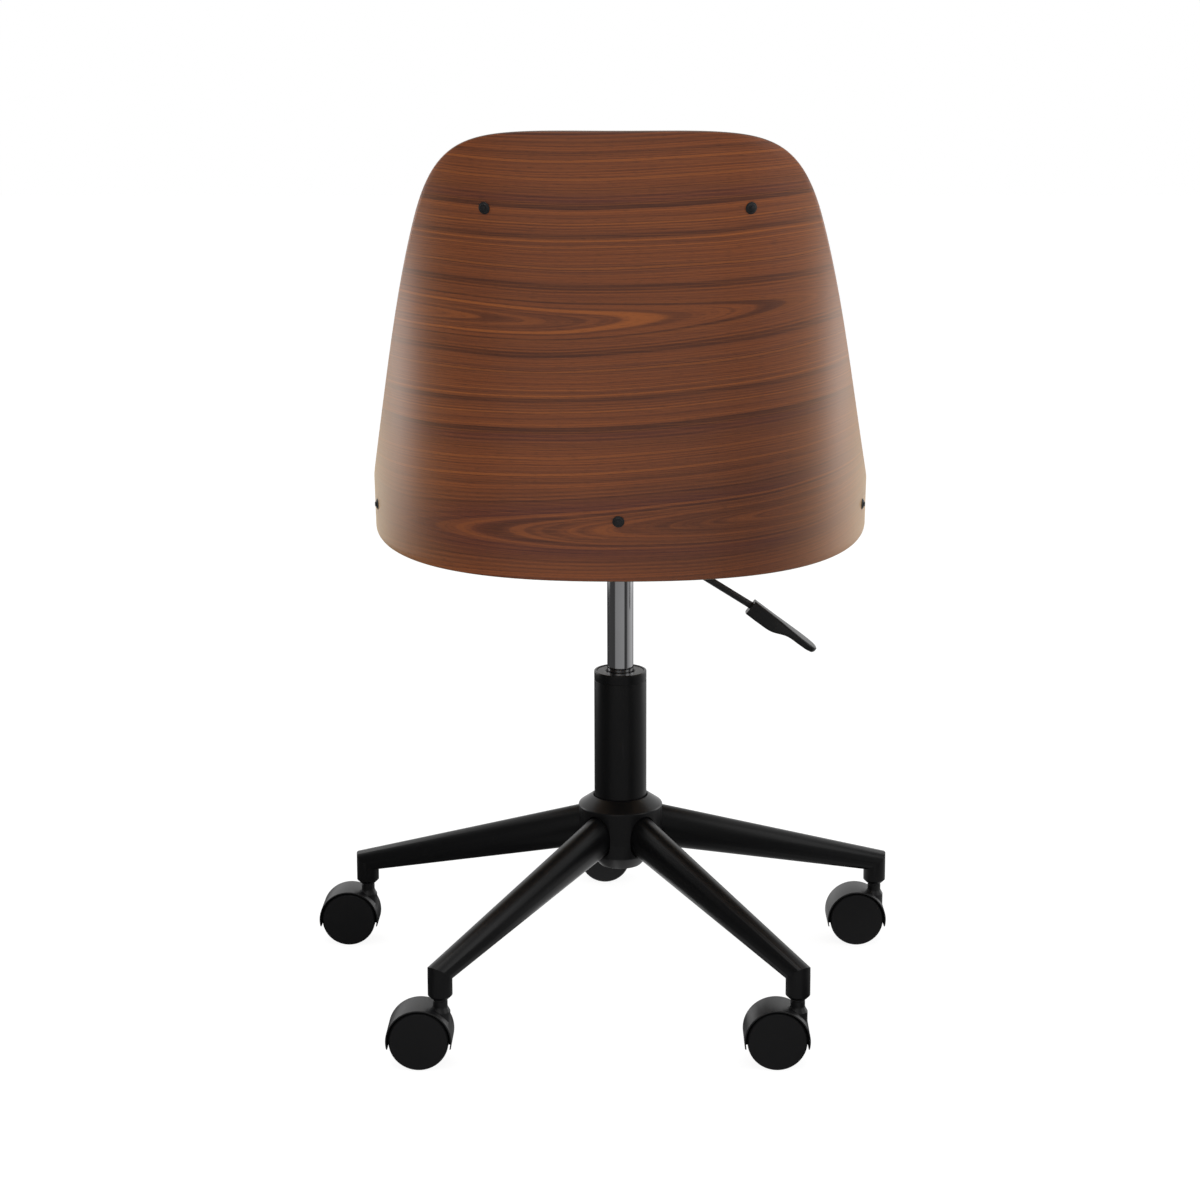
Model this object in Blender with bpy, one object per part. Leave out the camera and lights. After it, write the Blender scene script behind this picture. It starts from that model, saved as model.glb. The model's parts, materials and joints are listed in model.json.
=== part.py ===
# Office chair: a bent plywood bucket shell with a seat and a back cushion, on a
# gas lift and a five-leg base with hooded twin-wheel casters.
# Metres, +Z up. The floor is z = 0 and the chair faces -Y.

import math

import bmesh
import bpy
from mathutils import Matrix, Vector
from mathutils.geometry import interpolate_bezier

# Fits
CLEARANCE = 0.0003          # between two pieces that touch
RUNNING_GAP = 0.00035       # round a piece that slides or turns
BORE_GAP = 0.0003           # round a pin or a shank in its hole
SMALL_FILLET = 0.0010

# Casters
WHEEL_RADIUS = 0.0271
WHEEL_WIDTH = 0.0081
WHEEL_EDGE_ROUND = 0.0012
CASTER_TRAIL = 0.0189
CASTER_CORE_HALF_WIDTH = 0.0067
WHEEL_SIDE_GAP = 0.0003
HOOD_WALL = 0.0020
HOOD_WHEEL_GAP = 0.0006
HOOD_OVERHANG = 0.0004      # hood's rim beyond the wheel's outer face
HOOD_EDGE_ROUND = 0.0014
HOOD_DROP = 0.0066          # hood's tips below the axle
NECK_RADIUS = 0.0066
NECK_FLARE_RADIUS = 0.0098
NECK_FLARE_TOP = 0.0105     # flare's top above the hood's wall at the neck
NECK_FILLET = 0.0120
AXLE_RADIUS = 0.0030
AXLE_END_IN_WHEEL = 0.0045
STEM_RADIUS = 0.0055
STEM_FOOT_RADIUS = 0.0040
STEM_FOOT_LENGTH = 0.0255
STEM_COLLAR_RADIUS = 0.0064
STEM_COLLAR_HEIGHT = 0.0014
STEM_LENGTH = 0.0200        # in the leg, above the collar

# Star base
LEG_COUNT = 5
FIRST_LEG_ANGLE = -90.0     # one leg points to the chair's front
BASE_RADIUS = 0.2750        # column's axis to caster stem
LEG_SOCKET_BOTTOM = 0.0697
LEG_SOCKET_RADIUS = 0.0112
LEG_SOCKET_CHAMFER = 0.0032
LEG_SOCKET_TOP = 0.0857
LEG_ROOT_RADIUS = 0.0301    # column's axis to the leg's inner end
LEG_ROOT_TOP = 0.1729
LEG_ROOT_BOTTOM = 0.1290
LEG_ROOT_HALF_WIDTH = 0.0140
LEG_END_TOP = 0.0977
LEG_END_BOTTOM = 0.0751
LEG_END_HALF_WIDTH = 0.0110
LEG_POCKET_GAP = 0.0011     # dark gap round each leg in the hub
HUB_BOTTOM = 0.1132
HUB_BOTTOM_RADIUS = 0.0206
HUB_BOTTOM_HOLE_RADIUS = 0.0170
HUB_HAUNCH_RADIUS = 0.0330
HUB_HAUNCH = 0.1267
HUB_BOWL_RADIUS = 0.0405
HUB_BOWL_TOP = 0.1437
HUB_RADIUS = 0.0414
HUB_BOWL_FILLET = 0.0090
HUB_SHOULDER = 0.1747
HUB_SHOULDER_FILLET = 0.0022
HUB_TOP = 0.1843
HUB_LIP = 0.0014            # dome's width at the column

# Column and gas lift
COLUMN_RADIUS = 0.0257
COLUMN_WALL = 0.0024
COLUMN_TOP = 0.3101
COLUMN_BOTTOM = 0.1260
COLUMN_FOOT_RADIUS = 0.0247
COLUMN_FLOOR = 0.0040
COLUMN_CAP_HEIGHT = 0.0088
COLUMN_GROOVE = 0.0005
COLUMN_GROOVE_HEIGHT = 0.0009
PISTON_RADIUS = 0.01285
PISTON_BOTTOM = 0.2227
PISTON_TOP_DROP = 0.0140    # piston's top below the seat board
PISTON_TAPER_LENGTH = 0.0380
PISTON_TIP_RADIUS = 0.0122
PISTON_GUIDE = 0.0100
PISTON_BORE_RADIUS = 0.0104
PISTON_BORE_LENGTH = 0.1210
BUSH_LENGTH = 0.1000
BUSH_DROP = 0.0006          # bush's top below the column's rim
BUSH_MOUTH_RADIUS = 0.0147
BUSH_MOUTH_DEPTH = 0.0028
ROD_RADIUS = 0.0050
ROD_FOOT = 0.0070           # rod's end below the column's floor
ROD_COLLAR_RADIUS = 0.0090
ROD_COLLAR_HEIGHT = 0.0020
ROD_HEAD_RADIUS = 0.0100
ROD_HEAD_BOTTOM = 0.2537
ROD_HEAD_HEIGHT = 0.0100
BEARING_RADIUS = 0.0120
BEARING_HEIGHT = 0.0034
CLIP_RADIUS = 0.0110
CLIP_THICKNESS = 0.0020
CLIP_GROOVE = 0.0008
RELEASE_PIN_RADIUS = 0.0030
RELEASE_PIN_LENGTH = 0.0155
RELEASE_PIN_STANDS = 0.0055  # pin above the piston's top
RELEASE_TRAVEL = 0.0034

# Seat plate, taper socket and lever
PLATE_SHEET = 0.0025
PLATE_LENGTH_X = 0.1900
PLATE_LENGTH_Y = 0.1500
PLATE_CORNER = 0.0120
PLATE_BOLT_X = 0.0800
PLATE_BOLT_Y = 0.0600
PAN_HALF_X = 0.0505
PAN_HALF_Y = 0.0365
PAN_CORNER = 0.0080
PAN_DEPTH = 0.0437
TAPER_SOCKET_RADIUS = 0.0170
TAPER_SOCKET_DROP = 0.0480   # socket's bottom below the seat board
TAPER_SOCKET_LENGTH = 0.0315
BOLT_RADIUS = 0.0030
BOLT_HEAD_RADIUS = 0.0058
BOLT_HEAD_HEIGHT = 0.0040
BOLT_LENGTH = 0.0135        # shank above the head
BOLT_HOLE_SPARE = 0.0009
LEVER_PIVOT_X = -0.0360
LEVER_PIVOT_DROP = 0.0215    # pivot's axis below the seat board
LEVER_SLOPE = 32.1          # degrees down from level
LEVER_ROD_RADIUS = 0.0035
LEVER_ROD_LENGTH = 0.1260   # from the pivot's axis
LEVER_EYE_RADIUS = 0.0065
LEVER_EYE_HALF_WIDTH = 0.0060
LEVER_FINGER_HALF_WIDTH = 0.0050
LEVER_FINGER_THICKNESS = 0.0036
LEVER_FINGER_REACH = 0.0040  # finger's tip past the column's axis
LEVER_SLOT_HALF_HEIGHT = 0.0080
LEVER_SLOT_HALF_WIDTH = 0.0055
LEVER_SLOT_CORNER = 0.0030
LEVER_FINGER_GAP = 0.0004
PIVOT_PIN_RADIUS = 0.0025
PIVOT_PIN_HEAD_RADIUS = 0.0042
PIVOT_PIN_HEAD = 0.0015
PIVOT_PIN_PROUD = 0.0015
PADDLE_START_X = -0.1270
PADDLE_START_DROP = 0.0802   # paddle's near end below the seat board
PADDLE_SLOPE = 37.6
PADDLE_HALF_DEPTH = 0.0078
PADDLE_EDGE = 0.0026
PADDLE_EDGE_SHARE = 0.35    # most of a thin section that its edge takes
# The paddle's sections: distance along, bottom, top and half width
PADDLE_SECTIONS = ((0.0000, -0.0078, 0.0078, 0.0070), (0.0300, -0.0070, 0.0078, 0.0085),
                   (0.0450, 0.0000, 0.0076, 0.0120), (0.0600, 0.0005, 0.0075, 0.0140),
                   (0.0720, 0.0010, 0.0074, 0.0120), (0.0762, 0.0030, 0.0071, 0.0060))

# Bent plywood shell. Its plan at the rim is one Bezier curve from the middle
# of the back to the front end of a side, mirrored.
RIM_HEIGHT = 0.4467
SHELL_HANG = 0.0070         # rim below the seat board
SHELL_THICKNESS = 0.0110
SHELL_EDGE_ROUND = 0.0022
SHELL_RECLINE = 10.0        # degrees
SHELL_BACK = 0.2231         # rim's middle behind the column's axis
SHELL_BACK_HANDLE = 0.0951
SHELL_HALF_WIDTH = 0.2462
SHELL_SIDE_FRONT = 0.1400   # plan curve's end in front of the axis
SHELL_SIDE_HANDLE = 0.3380
# The sheet's edge, as distance along the rim and height above the rim.
EDGE_TOP_HEIGHT = 0.3932
EDGE_TOP_HANDLE = 0.1150
EDGE_SHOULDER_ALONG = 0.1991
EDGE_SHOULDER_HEIGHT = 0.3184
EDGE_SHOULDER_SLOPE = 63.2  # degrees
EDGE_SHOULDER_UP_HANDLE = 0.0907
EDGE_SHOULDER_DOWN_HANDLE = 0.1550
EDGE_WING_ALONG = 0.4570
EDGE_WING_HANDLE = 0.1520
WING_NOSE_RADIUS = 0.0230   # half the wing's height at its front
NOSE_END_ANGLE = 80.0       # degrees of the nose's quarter round that are drawn

# Screws through the shell: distance along the rim, and height above it
TOP_SCREW_ALONG = 0.1148
TOP_SCREW_DROP = 0.0647      # below the shell's top edge
BACK_SCREW_HEIGHT = 0.0560
SIDE_SCREW_ALONG = 0.3425
SIDE_SCREW_HEIGHT = 0.0330
SCREW_RADIUS = 0.0030
SCREW_HEAD_RADIUS = 0.00525
SCREW_HEAD_HEIGHT = 0.0028
SCREW_HEAD_RIM = 0.0012
SCREW_CROWN_RADIUS = 0.0034
SCREW_SOCKET_RADIUS = 0.0023
SCREW_SOCKET_DEPTH = 0.0016
SCREW_LENGTH = 0.0175       # under the head

# Seat and cushions
SEAT_BOARD_THICKNESS = 0.0130
SEAT_FRONT = 0.2350         # board's front edge in front of the axis
SEAT_SIDE_END = 0.4500      # along the rim, where the front corner starts
SEAT_CORNER_HANDLE = 0.0950
SEAT_FRONT_HANDLE = 0.1450
RAIL_THICKNESS = 0.0140
RAIL_SIDE_HEIGHT = 0.0220
RAIL_BACK_HEIGHT = 0.0470
RAIL_RISE_START = 0.1300    # along the rim
RAIL_RISE_END = 0.2700
RAIL_END = 0.3950
SEAT_CUSHION_EDGE = 0.0580  # side seam above the board
SEAT_CUSHION_CROWN = 0.0160
SEAT_CUSHION_BULGE = 0.0010
SEAT_CUSHION_SEAM = 0.0012  # seam's depth
SEAT_CUSHION_SHOULDER = 0.0150
SEAT_CUSHION_TURN = 0.25    # shares of the shoulder and the crown at its turn
SEAT_CUSHION_TURN_RISE = 0.42
SEAT_CUSHION_SHOULDER_RISE = 0.60
SEAT_CUSHION_RINGS = (0.3, 0.7)  # shares of the way in to the crown
SEAT_CUSHION_SKIRT = 0.0010
SEAT_CUSHION_GAP = 0.0010   # cushion's side to the shell
SEAT_FRONT_DROP = 0.0070
SEAT_DROP_START = 0.4       # share of the way to the front edge
SEAT_CENTRE_FORWARD = 0.0100
BACK_BOARD_THICKNESS = 0.0080
BACK_BOARD_END = 0.2620
BACK_BOARD_INSET = 0.0200
BACK_BOARD_BOTTOM = 0.0955
BACK_CUSHION_THICKNESS = 0.0340
BACK_CUSHION_EDGE = 0.0120
BACK_CUSHION_ROLL = 0.0016
BACK_CUSHION_END = 0.2960
BACK_CUSHION_INSET = 0.0090
BACK_CUSHION_BOTTOM = 0.0920
BACK_CUSHION_GAP = 0.0008   # rolled rim to the shell
BACK_CUSHION_ROWS = (0.985, 0.9, 0.65, 0.25)  # shares of its half height
BACK_CUSHION_END_STEPS = (0.6, 0.9)
BACK_CUSHION_CROWN_POWER = 4  # how flat the pad is from top to bottom
BACK_CUSHION_SIDE_POWER = 6   # and from side to side
BACK_POCKET_SIDE_GAP = 0.0012
BACK_POCKET_FADE = 0.0050
BACK_POCKET_SEAM = 0.0005

# Counts of sides and steps
WHEEL_SIDES = 24
HOOD_STEPS = 16
TUBE_SIDES = 32
LEG_SIDES = 16
SMALL_SIDES = 12
PLAN_SAMPLES = 400
TOP_EDGE_STEPS = 12
SIDE_EDGE_STEPS = 18
NOSE_STEPS = 5
FRONT_STEPS = 8
FILLET_STEPS = 2

AXIS_X = -CASTER_TRAIL      # the casters trail to +X, so the column stands to -X
SEAT_UNDERSIDE = RIM_HEIGHT + SHELL_HANG
PISTON_TOP = SEAT_UNDERSIDE - PISTON_TOP_DROP
PISTON_TAPER_BOTTOM = PISTON_TOP - PISTON_TAPER_LENGTH
TAPER_SOCKET_BOTTOM = SEAT_UNDERSIDE - TAPER_SOCKET_DROP
TAPER_SOCKET_TOP = TAPER_SOCKET_BOTTOM + TAPER_SOCKET_LENGTH
LEVER_PIVOT_Z = SEAT_UNDERSIDE - LEVER_PIVOT_DROP
PADDLE_START_Z = SEAT_UNDERSIDE - PADDLE_START_DROP
TOP_SCREW_HEIGHT = EDGE_TOP_HEIGHT - TOP_SCREW_DROP
QUARTER_TURN = math.radians(90)
MERGE_DISTANCE = 1e-6
SLIVER = 6e-5               # shortest edge that a cut may leave


def clear_objects():
    for old in list(bpy.data.objects):
        bpy.data.objects.remove(old, do_unlink=True)


def make_material(name, colour, roughness, metallic=0.0):
    material = bpy.data.materials.new(name)
    material.use_nodes = True
    shader = material.node_tree.nodes["Principled BSDF"]
    shader.inputs["Base Color"].default_value = (*colour, 1.0)
    shader.inputs["Roughness"].default_value = roughness
    shader.inputs["Metallic"].default_value = metallic
    material.diffuse_color = (*colour, 1.0)
    return material


def place(name, mesh, material=None, location=(0, 0, 0), rotation=(0, 0, 0), parent=None):
    """Link a mesh as a named object, smooth except at its real edges."""
    mesh.shade_smooth()
    mesh.set_sharp_from_angle(angle=math.radians(32))
    piece = bpy.data.objects.new(name, mesh)
    bpy.context.scene.collection.objects.link(piece)
    if material:
        mesh.materials.clear()
        mesh.materials.append(material)
    piece.location = location
    piece.rotation_euler = rotation
    piece.parent = parent
    return piece


def pivot(name, location, parent=None):
    empty = bpy.data.objects.new(name, None)
    bpy.context.scene.collection.objects.link(empty)
    empty.empty_display_size = 0.02
    empty.location = location
    empty.parent = parent
    return empty


def finish_mesh(name, shape):
    bmesh.ops.remove_doubles(shape, verts=shape.verts, dist=MERGE_DISTANCE)
    bmesh.ops.recalc_face_normals(shape, faces=shape.faces)
    mesh = bpy.data.meshes.new(name)
    shape.to_mesh(mesh)
    shape.free()
    return mesh


def rounded(corners, steps=FILLET_STEPS):
    """A closed outline from (x, y, fillet radius) corners."""
    points = []
    count = len(corners)
    for index, (x, y, radius) in enumerate(corners):
        here = Vector((x, y))
        if radius <= 0.0:
            points.append(here)
            continue
        to_last = (Vector(corners[index - 1][:2]) - here).normalized()
        to_next = (Vector(corners[(index + 1) % count][:2]) - here).normalized()
        half = to_last.angle(to_next) / 2
        reach = radius / math.tan(half)
        centre = here + (to_last + to_next).normalized() * (radius / math.sin(half))
        start = here + to_last * reach - centre
        sweep = start.angle_signed(here + to_next * reach - centre)
        for step in range(steps + 1):
            turned_by = Matrix.Rotation(-sweep * step / steps, 2)
            points.append(centre + turned_by @ start)
    return points


def arc(centre_x, centre_y, radius, start, end, steps):
    """Points on an arc, angles in degrees."""
    points = []
    for step in range(steps + 1):
        angle = math.radians(start + (end - start) * step / steps)
        points.append(Vector((centre_x + radius * math.cos(angle), centre_y + radius * math.sin(angle))))
    return points


def turned(name, corners, sides, steps=FILLET_STEPS, start_angle=0.0):
    """A body of revolution about Z from a closed (radius, height, fillet) outline."""
    shape = bmesh.new()
    verts = [shape.verts.new((point.x, 0.0, point.y)) for point in rounded(corners, steps)]
    edges = []
    for first, second in zip(verts, verts[1:] + verts[:1]):
        if first.co.x > MERGE_DISTANCE or second.co.x > MERGE_DISTANCE:
            edges.append(shape.edges.new((first, second)))
    bmesh.ops.spin(shape, geom=verts + edges, cent=(0, 0, 0), axis=(0, 0, 1),
                   angle=math.tau, steps=sides, use_merge=True)
    bmesh.ops.rotate(shape, verts=shape.verts, cent=(0, 0, 0),
                     matrix=Matrix.Rotation(math.radians(start_angle), 3, "Z"))
    return finish_mesh(name, shape)


def prism(name, outline, low, high):
    """An outline in X and Y, extruded from z = low to z = high."""
    shape = bmesh.new()
    bottom = [shape.verts.new((point[0], point[1], low)) for point in outline]
    face = shape.faces.new(bottom)
    extruded = bmesh.ops.extrude_face_region(shape, geom=[face])["geom"]
    raised = [item for item in extruded if isinstance(item, bmesh.types.BMVert)]
    bmesh.ops.translate(shape, verts=raised, vec=(0, 0, high - low))
    return finish_mesh(name, shape)


def loft(name, rings, cap_start=True, cap_end=True):
    """Skin through rings of the same number of points, with closed ends."""
    shape = bmesh.new()
    rows = [[shape.verts.new(point) for point in ring] for ring in rings]
    for row, following in zip(rows, rows[1:]):
        for index in range(len(row)):
            after = (index + 1) % len(row)
            shape.faces.new((row[index], row[after], following[after], following[index]))
    if cap_start:
        shape.faces.new(rows[0])
    if cap_end:
        shape.faces.new(list(reversed(rows[-1])))
    return finish_mesh(name, shape)


def combine(piece, tool, operation="DIFFERENCE"):
    """Apply one exact Boolean to a piece and remove the tool."""
    tool.hide_render = True
    tool.display_type = "WIRE"
    boolean = piece.modifiers.new(operation.title(), "BOOLEAN")
    boolean.operation = operation
    boolean.solver = "EXACT"
    boolean.object = tool
    evaluated = piece.evaluated_get(bpy.context.evaluated_depsgraph_get())
    result = bpy.data.meshes.new_from_object(evaluated)
    shape = bmesh.new()
    shape.from_mesh(result)
    bmesh.ops.remove_doubles(shape, verts=shape.verts, dist=SLIVER)
    bmesh.ops.dissolve_degenerate(shape, edges=shape.edges, dist=SLIVER)
    shape.to_mesh(result)
    shape.free()
    piece.modifiers.remove(boolean)
    before = piece.data
    result.name = before.name
    piece.data = result
    bpy.data.meshes.remove(before)
    spent = tool.data
    bpy.data.objects.remove(tool, do_unlink=True)
    if spent.users == 0:
        bpy.data.meshes.remove(spent)
    piece.data.shade_smooth()
    piece.data.set_sharp_from_angle(angle=math.radians(32))


def rod(name, radius, low, high, sides=SMALL_SIDES):
    """A plain cylinder along Z."""
    return turned(name, [(0, low, 0), (radius, low, 0), (radius, high, 0), (0, high, 0)], sides)


def drill(piece, radius, start, end, sides=SMALL_SIDES):
    """Cut a round hole along the line from start to end."""
    start = Vector(start)
    direction = Vector(end) - start
    turn = direction.to_track_quat("Z", "Y").to_euler()
    combine(piece, place("drill", rod("drill", radius, 0.0, direction.length, sides), None, start, turn))


def rounded_box(half_x, half_y, corner):
    """A rectangle's outline with round corners, about the origin."""
    return rounded([(half_x, -half_y, corner), (half_x, half_y, corner),
                    (-half_x, half_y, corner), (-half_x, -half_y, corner)])


def blend(start, end, share):
    return start + (end - start) * share


def smooth_step(value, low, high):
    share = min(max((value - low) / (high - low), 0.0), 1.0)
    return share * share * (3.0 - 2.0 * share)


# Casters

AXLE_HEIGHT = WHEEL_RADIUS
HOOD_RADIUS = WHEEL_RADIUS / math.cos(math.pi / WHEEL_SIDES) + HOOD_WHEEL_GAP + HOOD_WALL
WHEEL_INNER = CASTER_CORE_HALF_WIDTH + WHEEL_SIDE_GAP
WHEEL_OUTER = WHEEL_INNER + WHEEL_WIDTH
HOOD_HALF_WIDTH = WHEEL_OUTER + HOOD_OVERHANG
COLLAR_TOP = LEG_SOCKET_BOTTOM - CLEARANCE
NECK_TOP = COLLAR_TOP - STEM_COLLAR_HEIGHT - CLEARANCE
STEM_FOOT_END = NECK_TOP - STEM_FOOT_LENGTH


def caster_housing_mesh():
    """Hood, core and neck about the wheel axle, stem side towards -X."""
    tip_angle = math.degrees(math.asin(HOOD_DROP / HOOD_RADIUS))
    sections = []
    for side, inset in ((-HOOD_HALF_WIDTH, HOOD_EDGE_ROUND), (HOOD_EDGE_ROUND - HOOD_HALF_WIDTH, 0.0),
                        (HOOD_HALF_WIDTH - HOOD_EDGE_ROUND, 0.0), (HOOD_HALF_WIDTH, HOOD_EDGE_ROUND)):
        outline = arc(0.0, 0.0, HOOD_RADIUS - inset, -tip_angle, 180.0 + tip_angle, HOOD_STEPS)
        sections.append([(point.x, side, AXLE_HEIGHT + point.y) for point in outline])
    housing = place("caster_housing", loft("caster_housing", sections))
    hood_at_neck = AXLE_HEIGHT + math.sqrt(HOOD_RADIUS ** 2 - CASTER_TRAIL ** 2)
    neck = turned("neck", [(0, AXLE_HEIGHT, 0), (NECK_FLARE_RADIUS, AXLE_HEIGHT, 0),
                           (NECK_FLARE_RADIUS, hood_at_neck, 0),
                           (NECK_RADIUS, hood_at_neck + NECK_FLARE_TOP, NECK_FILLET),
                           (NECK_RADIUS, NECK_TOP, 0), (0, NECK_TOP, 0)], SMALL_SIDES)
    combine(housing, place("neck", neck, location=(-CASTER_TRAIL, 0, 0)), "UNION")
    wheel_space = HOOD_RADIUS - HOOD_WALL
    for side in (1, -1):
        start = (0, side * CASTER_CORE_HALF_WIDTH, AXLE_HEIGHT)
        end = (0, side * HOOD_RADIUS, AXLE_HEIGHT)
        drill(housing, wheel_space, start, end, WHEEL_SIDES)
    reach = HOOD_HALF_WIDTH
    drill(housing, AXLE_RADIUS + BORE_GAP, (0, -reach, AXLE_HEIGHT), (0, reach, AXLE_HEIGHT))
    drill(housing, STEM_FOOT_RADIUS + RUNNING_GAP, (-CASTER_TRAIL, 0, COLLAR_TOP),
          (-CASTER_TRAIL, 0, STEM_FOOT_END - CLEARANCE))
    mesh = housing.data
    mesh.transform(Matrix.Translation((CASTER_TRAIL, 0, 0)))
    bpy.data.objects.remove(housing, do_unlink=True)
    return mesh


def wheel_mesh():
    """One wheel about the axle, which lies along Z here, its face at the top."""
    rim = WHEEL_RADIUS / math.cos(math.pi / WHEEL_SIDES)
    bore = AXLE_RADIUS + BORE_GAP
    bore_end = WHEEL_INNER + AXLE_END_IN_WHEEL + CLEARANCE
    corners = [(0, bore_end, 0), (bore, bore_end, 0), (bore, WHEEL_INNER, 0), (rim, WHEEL_INNER, 0),
               (rim, WHEEL_OUTER, WHEEL_EDGE_ROUND), (0, WHEEL_OUTER, 0)]
    return turned("caster_wheel", corners, WHEEL_SIDES, 1, 180.0 / WHEEL_SIDES)


def stem_mesh():
    collar_bottom = COLLAR_TOP - STEM_COLLAR_HEIGHT
    stem_top = COLLAR_TOP + STEM_LENGTH
    corners = [(0, STEM_FOOT_END, 0), (STEM_FOOT_RADIUS, STEM_FOOT_END, 0),
               (STEM_FOOT_RADIUS, collar_bottom, 0), (STEM_COLLAR_RADIUS, collar_bottom, 0),
               (STEM_COLLAR_RADIUS, COLLAR_TOP, 0), (STEM_RADIUS, COLLAR_TOP, 0),
               (STEM_RADIUS, stem_top, SMALL_FILLET), (0, stem_top, 0)]
    return turned("caster_stem", corners, SMALL_SIDES, 1)


def build_casters(plastic, steel, rubber):
    housing = caster_housing_mesh()
    wheel = wheel_mesh()
    stem = stem_mesh()
    axle_half = WHEEL_INNER + AXLE_END_IN_WHEEL
    axle = rod("caster_axle", AXLE_RADIUS, -axle_half, axle_half)
    for number in range(1, LEG_COUNT + 1):
        angle = math.radians(FIRST_LEG_ANGLE + (number - 1) * 360.0 / LEG_COUNT)
        foot = (AXIS_X + BASE_RADIUS * math.cos(angle), BASE_RADIUS * math.sin(angle), 0)
        swivel = pivot(f"caster_{number}_swivel_axis", foot)
        place(f"caster_{number}_stem", stem, steel, foot)
        place(f"caster_{number}_housing", housing, plastic, parent=swivel)
        hub = pivot(f"caster_{number}_axle_axis", (CASTER_TRAIL, 0, AXLE_HEIGHT), swivel)
        place(f"caster_{number}_axle", axle, steel, rotation=(QUARTER_TURN, 0, 0), parent=hub)
        place(f"caster_{number}_wheel_a", wheel, rubber, rotation=(-QUARTER_TURN, 0, 0), parent=hub)
        place(f"caster_{number}_wheel_b", wheel, rubber, rotation=(QUARTER_TURN, 0, 0), parent=hub)


# Star base

def leg_ring(along, gap=0.0):
    """The leg's oval section at a distance from the column's axis."""
    share = (along - LEG_ROOT_RADIUS) / (BASE_RADIUS - LEG_ROOT_RADIUS)
    top = blend(LEG_ROOT_TOP, LEG_END_TOP, share) + gap
    bottom = blend(LEG_ROOT_BOTTOM, LEG_END_BOTTOM, share) - gap
    half_width = blend(LEG_ROOT_HALF_WIDTH, LEG_END_HALF_WIDTH, share) + gap
    ring = []
    for step in range(LEG_SIDES):
        angle = math.tau * step / LEG_SIDES
        height = (top + bottom) / 2 + (top - bottom) / 2 * math.sin(angle)
        ring.append((along, half_width * math.cos(angle), height))
    return ring


def leg_mesh():
    """One leg along +X: an oval taper with a round end over its caster socket."""
    past_end = BASE_RADIUS + LEG_SOCKET_RADIUS * 1.5
    leg = place("leg", loft("base_leg", [leg_ring(LEG_ROOT_RADIUS), leg_ring(past_end)]))
    wide = LEG_ROOT_HALF_WIDTH * 2
    outline = [Vector((LEG_ROOT_RADIUS / 2, -wide)), Vector((BASE_RADIUS, -wide))]
    outline += arc(BASE_RADIUS, 0, LEG_SOCKET_RADIUS, -90, 90, LEG_SIDES // 2)
    outline += [Vector((BASE_RADIUS, wide)), Vector((LEG_ROOT_RADIUS / 2, wide))]
    combine(leg, place("end", prism("end", outline, 0.0, HUB_TOP)), "INTERSECT")
    socket = turned("socket", [(0, LEG_SOCKET_BOTTOM, 0),
                               (LEG_SOCKET_RADIUS - LEG_SOCKET_CHAMFER, LEG_SOCKET_BOTTOM, 0),
                               (LEG_SOCKET_RADIUS, LEG_SOCKET_BOTTOM + LEG_SOCKET_CHAMFER, 0),
                               (LEG_SOCKET_RADIUS, LEG_SOCKET_TOP, 0), (0, LEG_SOCKET_TOP, 0)], LEG_SIDES)
    combine(leg, place("socket", socket, location=(BASE_RADIUS, 0, 0)), "UNION")
    bore_top = COLLAR_TOP + STEM_LENGTH + CLEARANCE
    mouth = LEG_SOCKET_BOTTOM - LEG_SOCKET_CHAMFER
    drill(leg, STEM_RADIUS + BORE_GAP, (BASE_RADIUS, 0, mouth), (BASE_RADIUS, 0, bore_top))
    mesh = leg.data
    bpy.data.objects.remove(leg, do_unlink=True)
    return mesh


def build_base(metal):
    bore_top = COLUMN_RADIUS + CLEARANCE
    bore_bottom = COLUMN_FOOT_RADIUS + CLEARANCE
    seat = COLUMN_BOTTOM - CLEARANCE
    corners = [(HUB_BOTTOM_HOLE_RADIUS, HUB_BOTTOM, 0), (HUB_BOTTOM_RADIUS, HUB_BOTTOM, SMALL_FILLET),
               (HUB_HAUNCH_RADIUS, HUB_HAUNCH, HUB_BOWL_FILLET),
               (HUB_BOWL_RADIUS, HUB_BOWL_TOP, HUB_BOWL_FILLET),
               (HUB_RADIUS, HUB_SHOULDER, HUB_SHOULDER_FILLET),
               (COLUMN_RADIUS + HUB_LIP, HUB_TOP, 0), (bore_top, HUB_TOP - HUB_LIP, 0),
               (bore_bottom, seat, 0), (HUB_BOTTOM_HOLE_RADIUS, seat, 0)]
    hub = place("base_hub", turned("base_hub", corners, TUBE_SIDES), metal, (AXIS_X, 0, 0))
    leg = leg_mesh()
    pocket_start = LEG_ROOT_RADIUS - CLEARANCE
    pocket_rings = [leg_ring(pocket_start, LEG_POCKET_GAP), leg_ring(HUB_RADIUS * 1.5, LEG_POCKET_GAP)]
    for number in range(1, LEG_COUNT + 1):
        turn = math.radians(FIRST_LEG_ANGLE + (number - 1) * 360.0 / LEG_COUNT)
        pocket = place("pocket", loft("pocket", pocket_rings), None, (AXIS_X, 0, 0), (0, 0, turn))
        combine(hub, pocket)
        place(f"base_leg_{number}", leg, metal, (AXIS_X, 0, 0), (0, 0, turn))


# Column and gas lift

BUSH_TOP = COLUMN_TOP - BUSH_DROP
COLUMN_FLOOR_TOP = COLUMN_BOTTOM + COLUMN_FLOOR
BEARING_BOTTOM = COLUMN_FLOOR_TOP + CLEARANCE
ROD_COLLAR_BOTTOM = BEARING_BOTTOM + BEARING_HEIGHT + CLEARANCE


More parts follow.
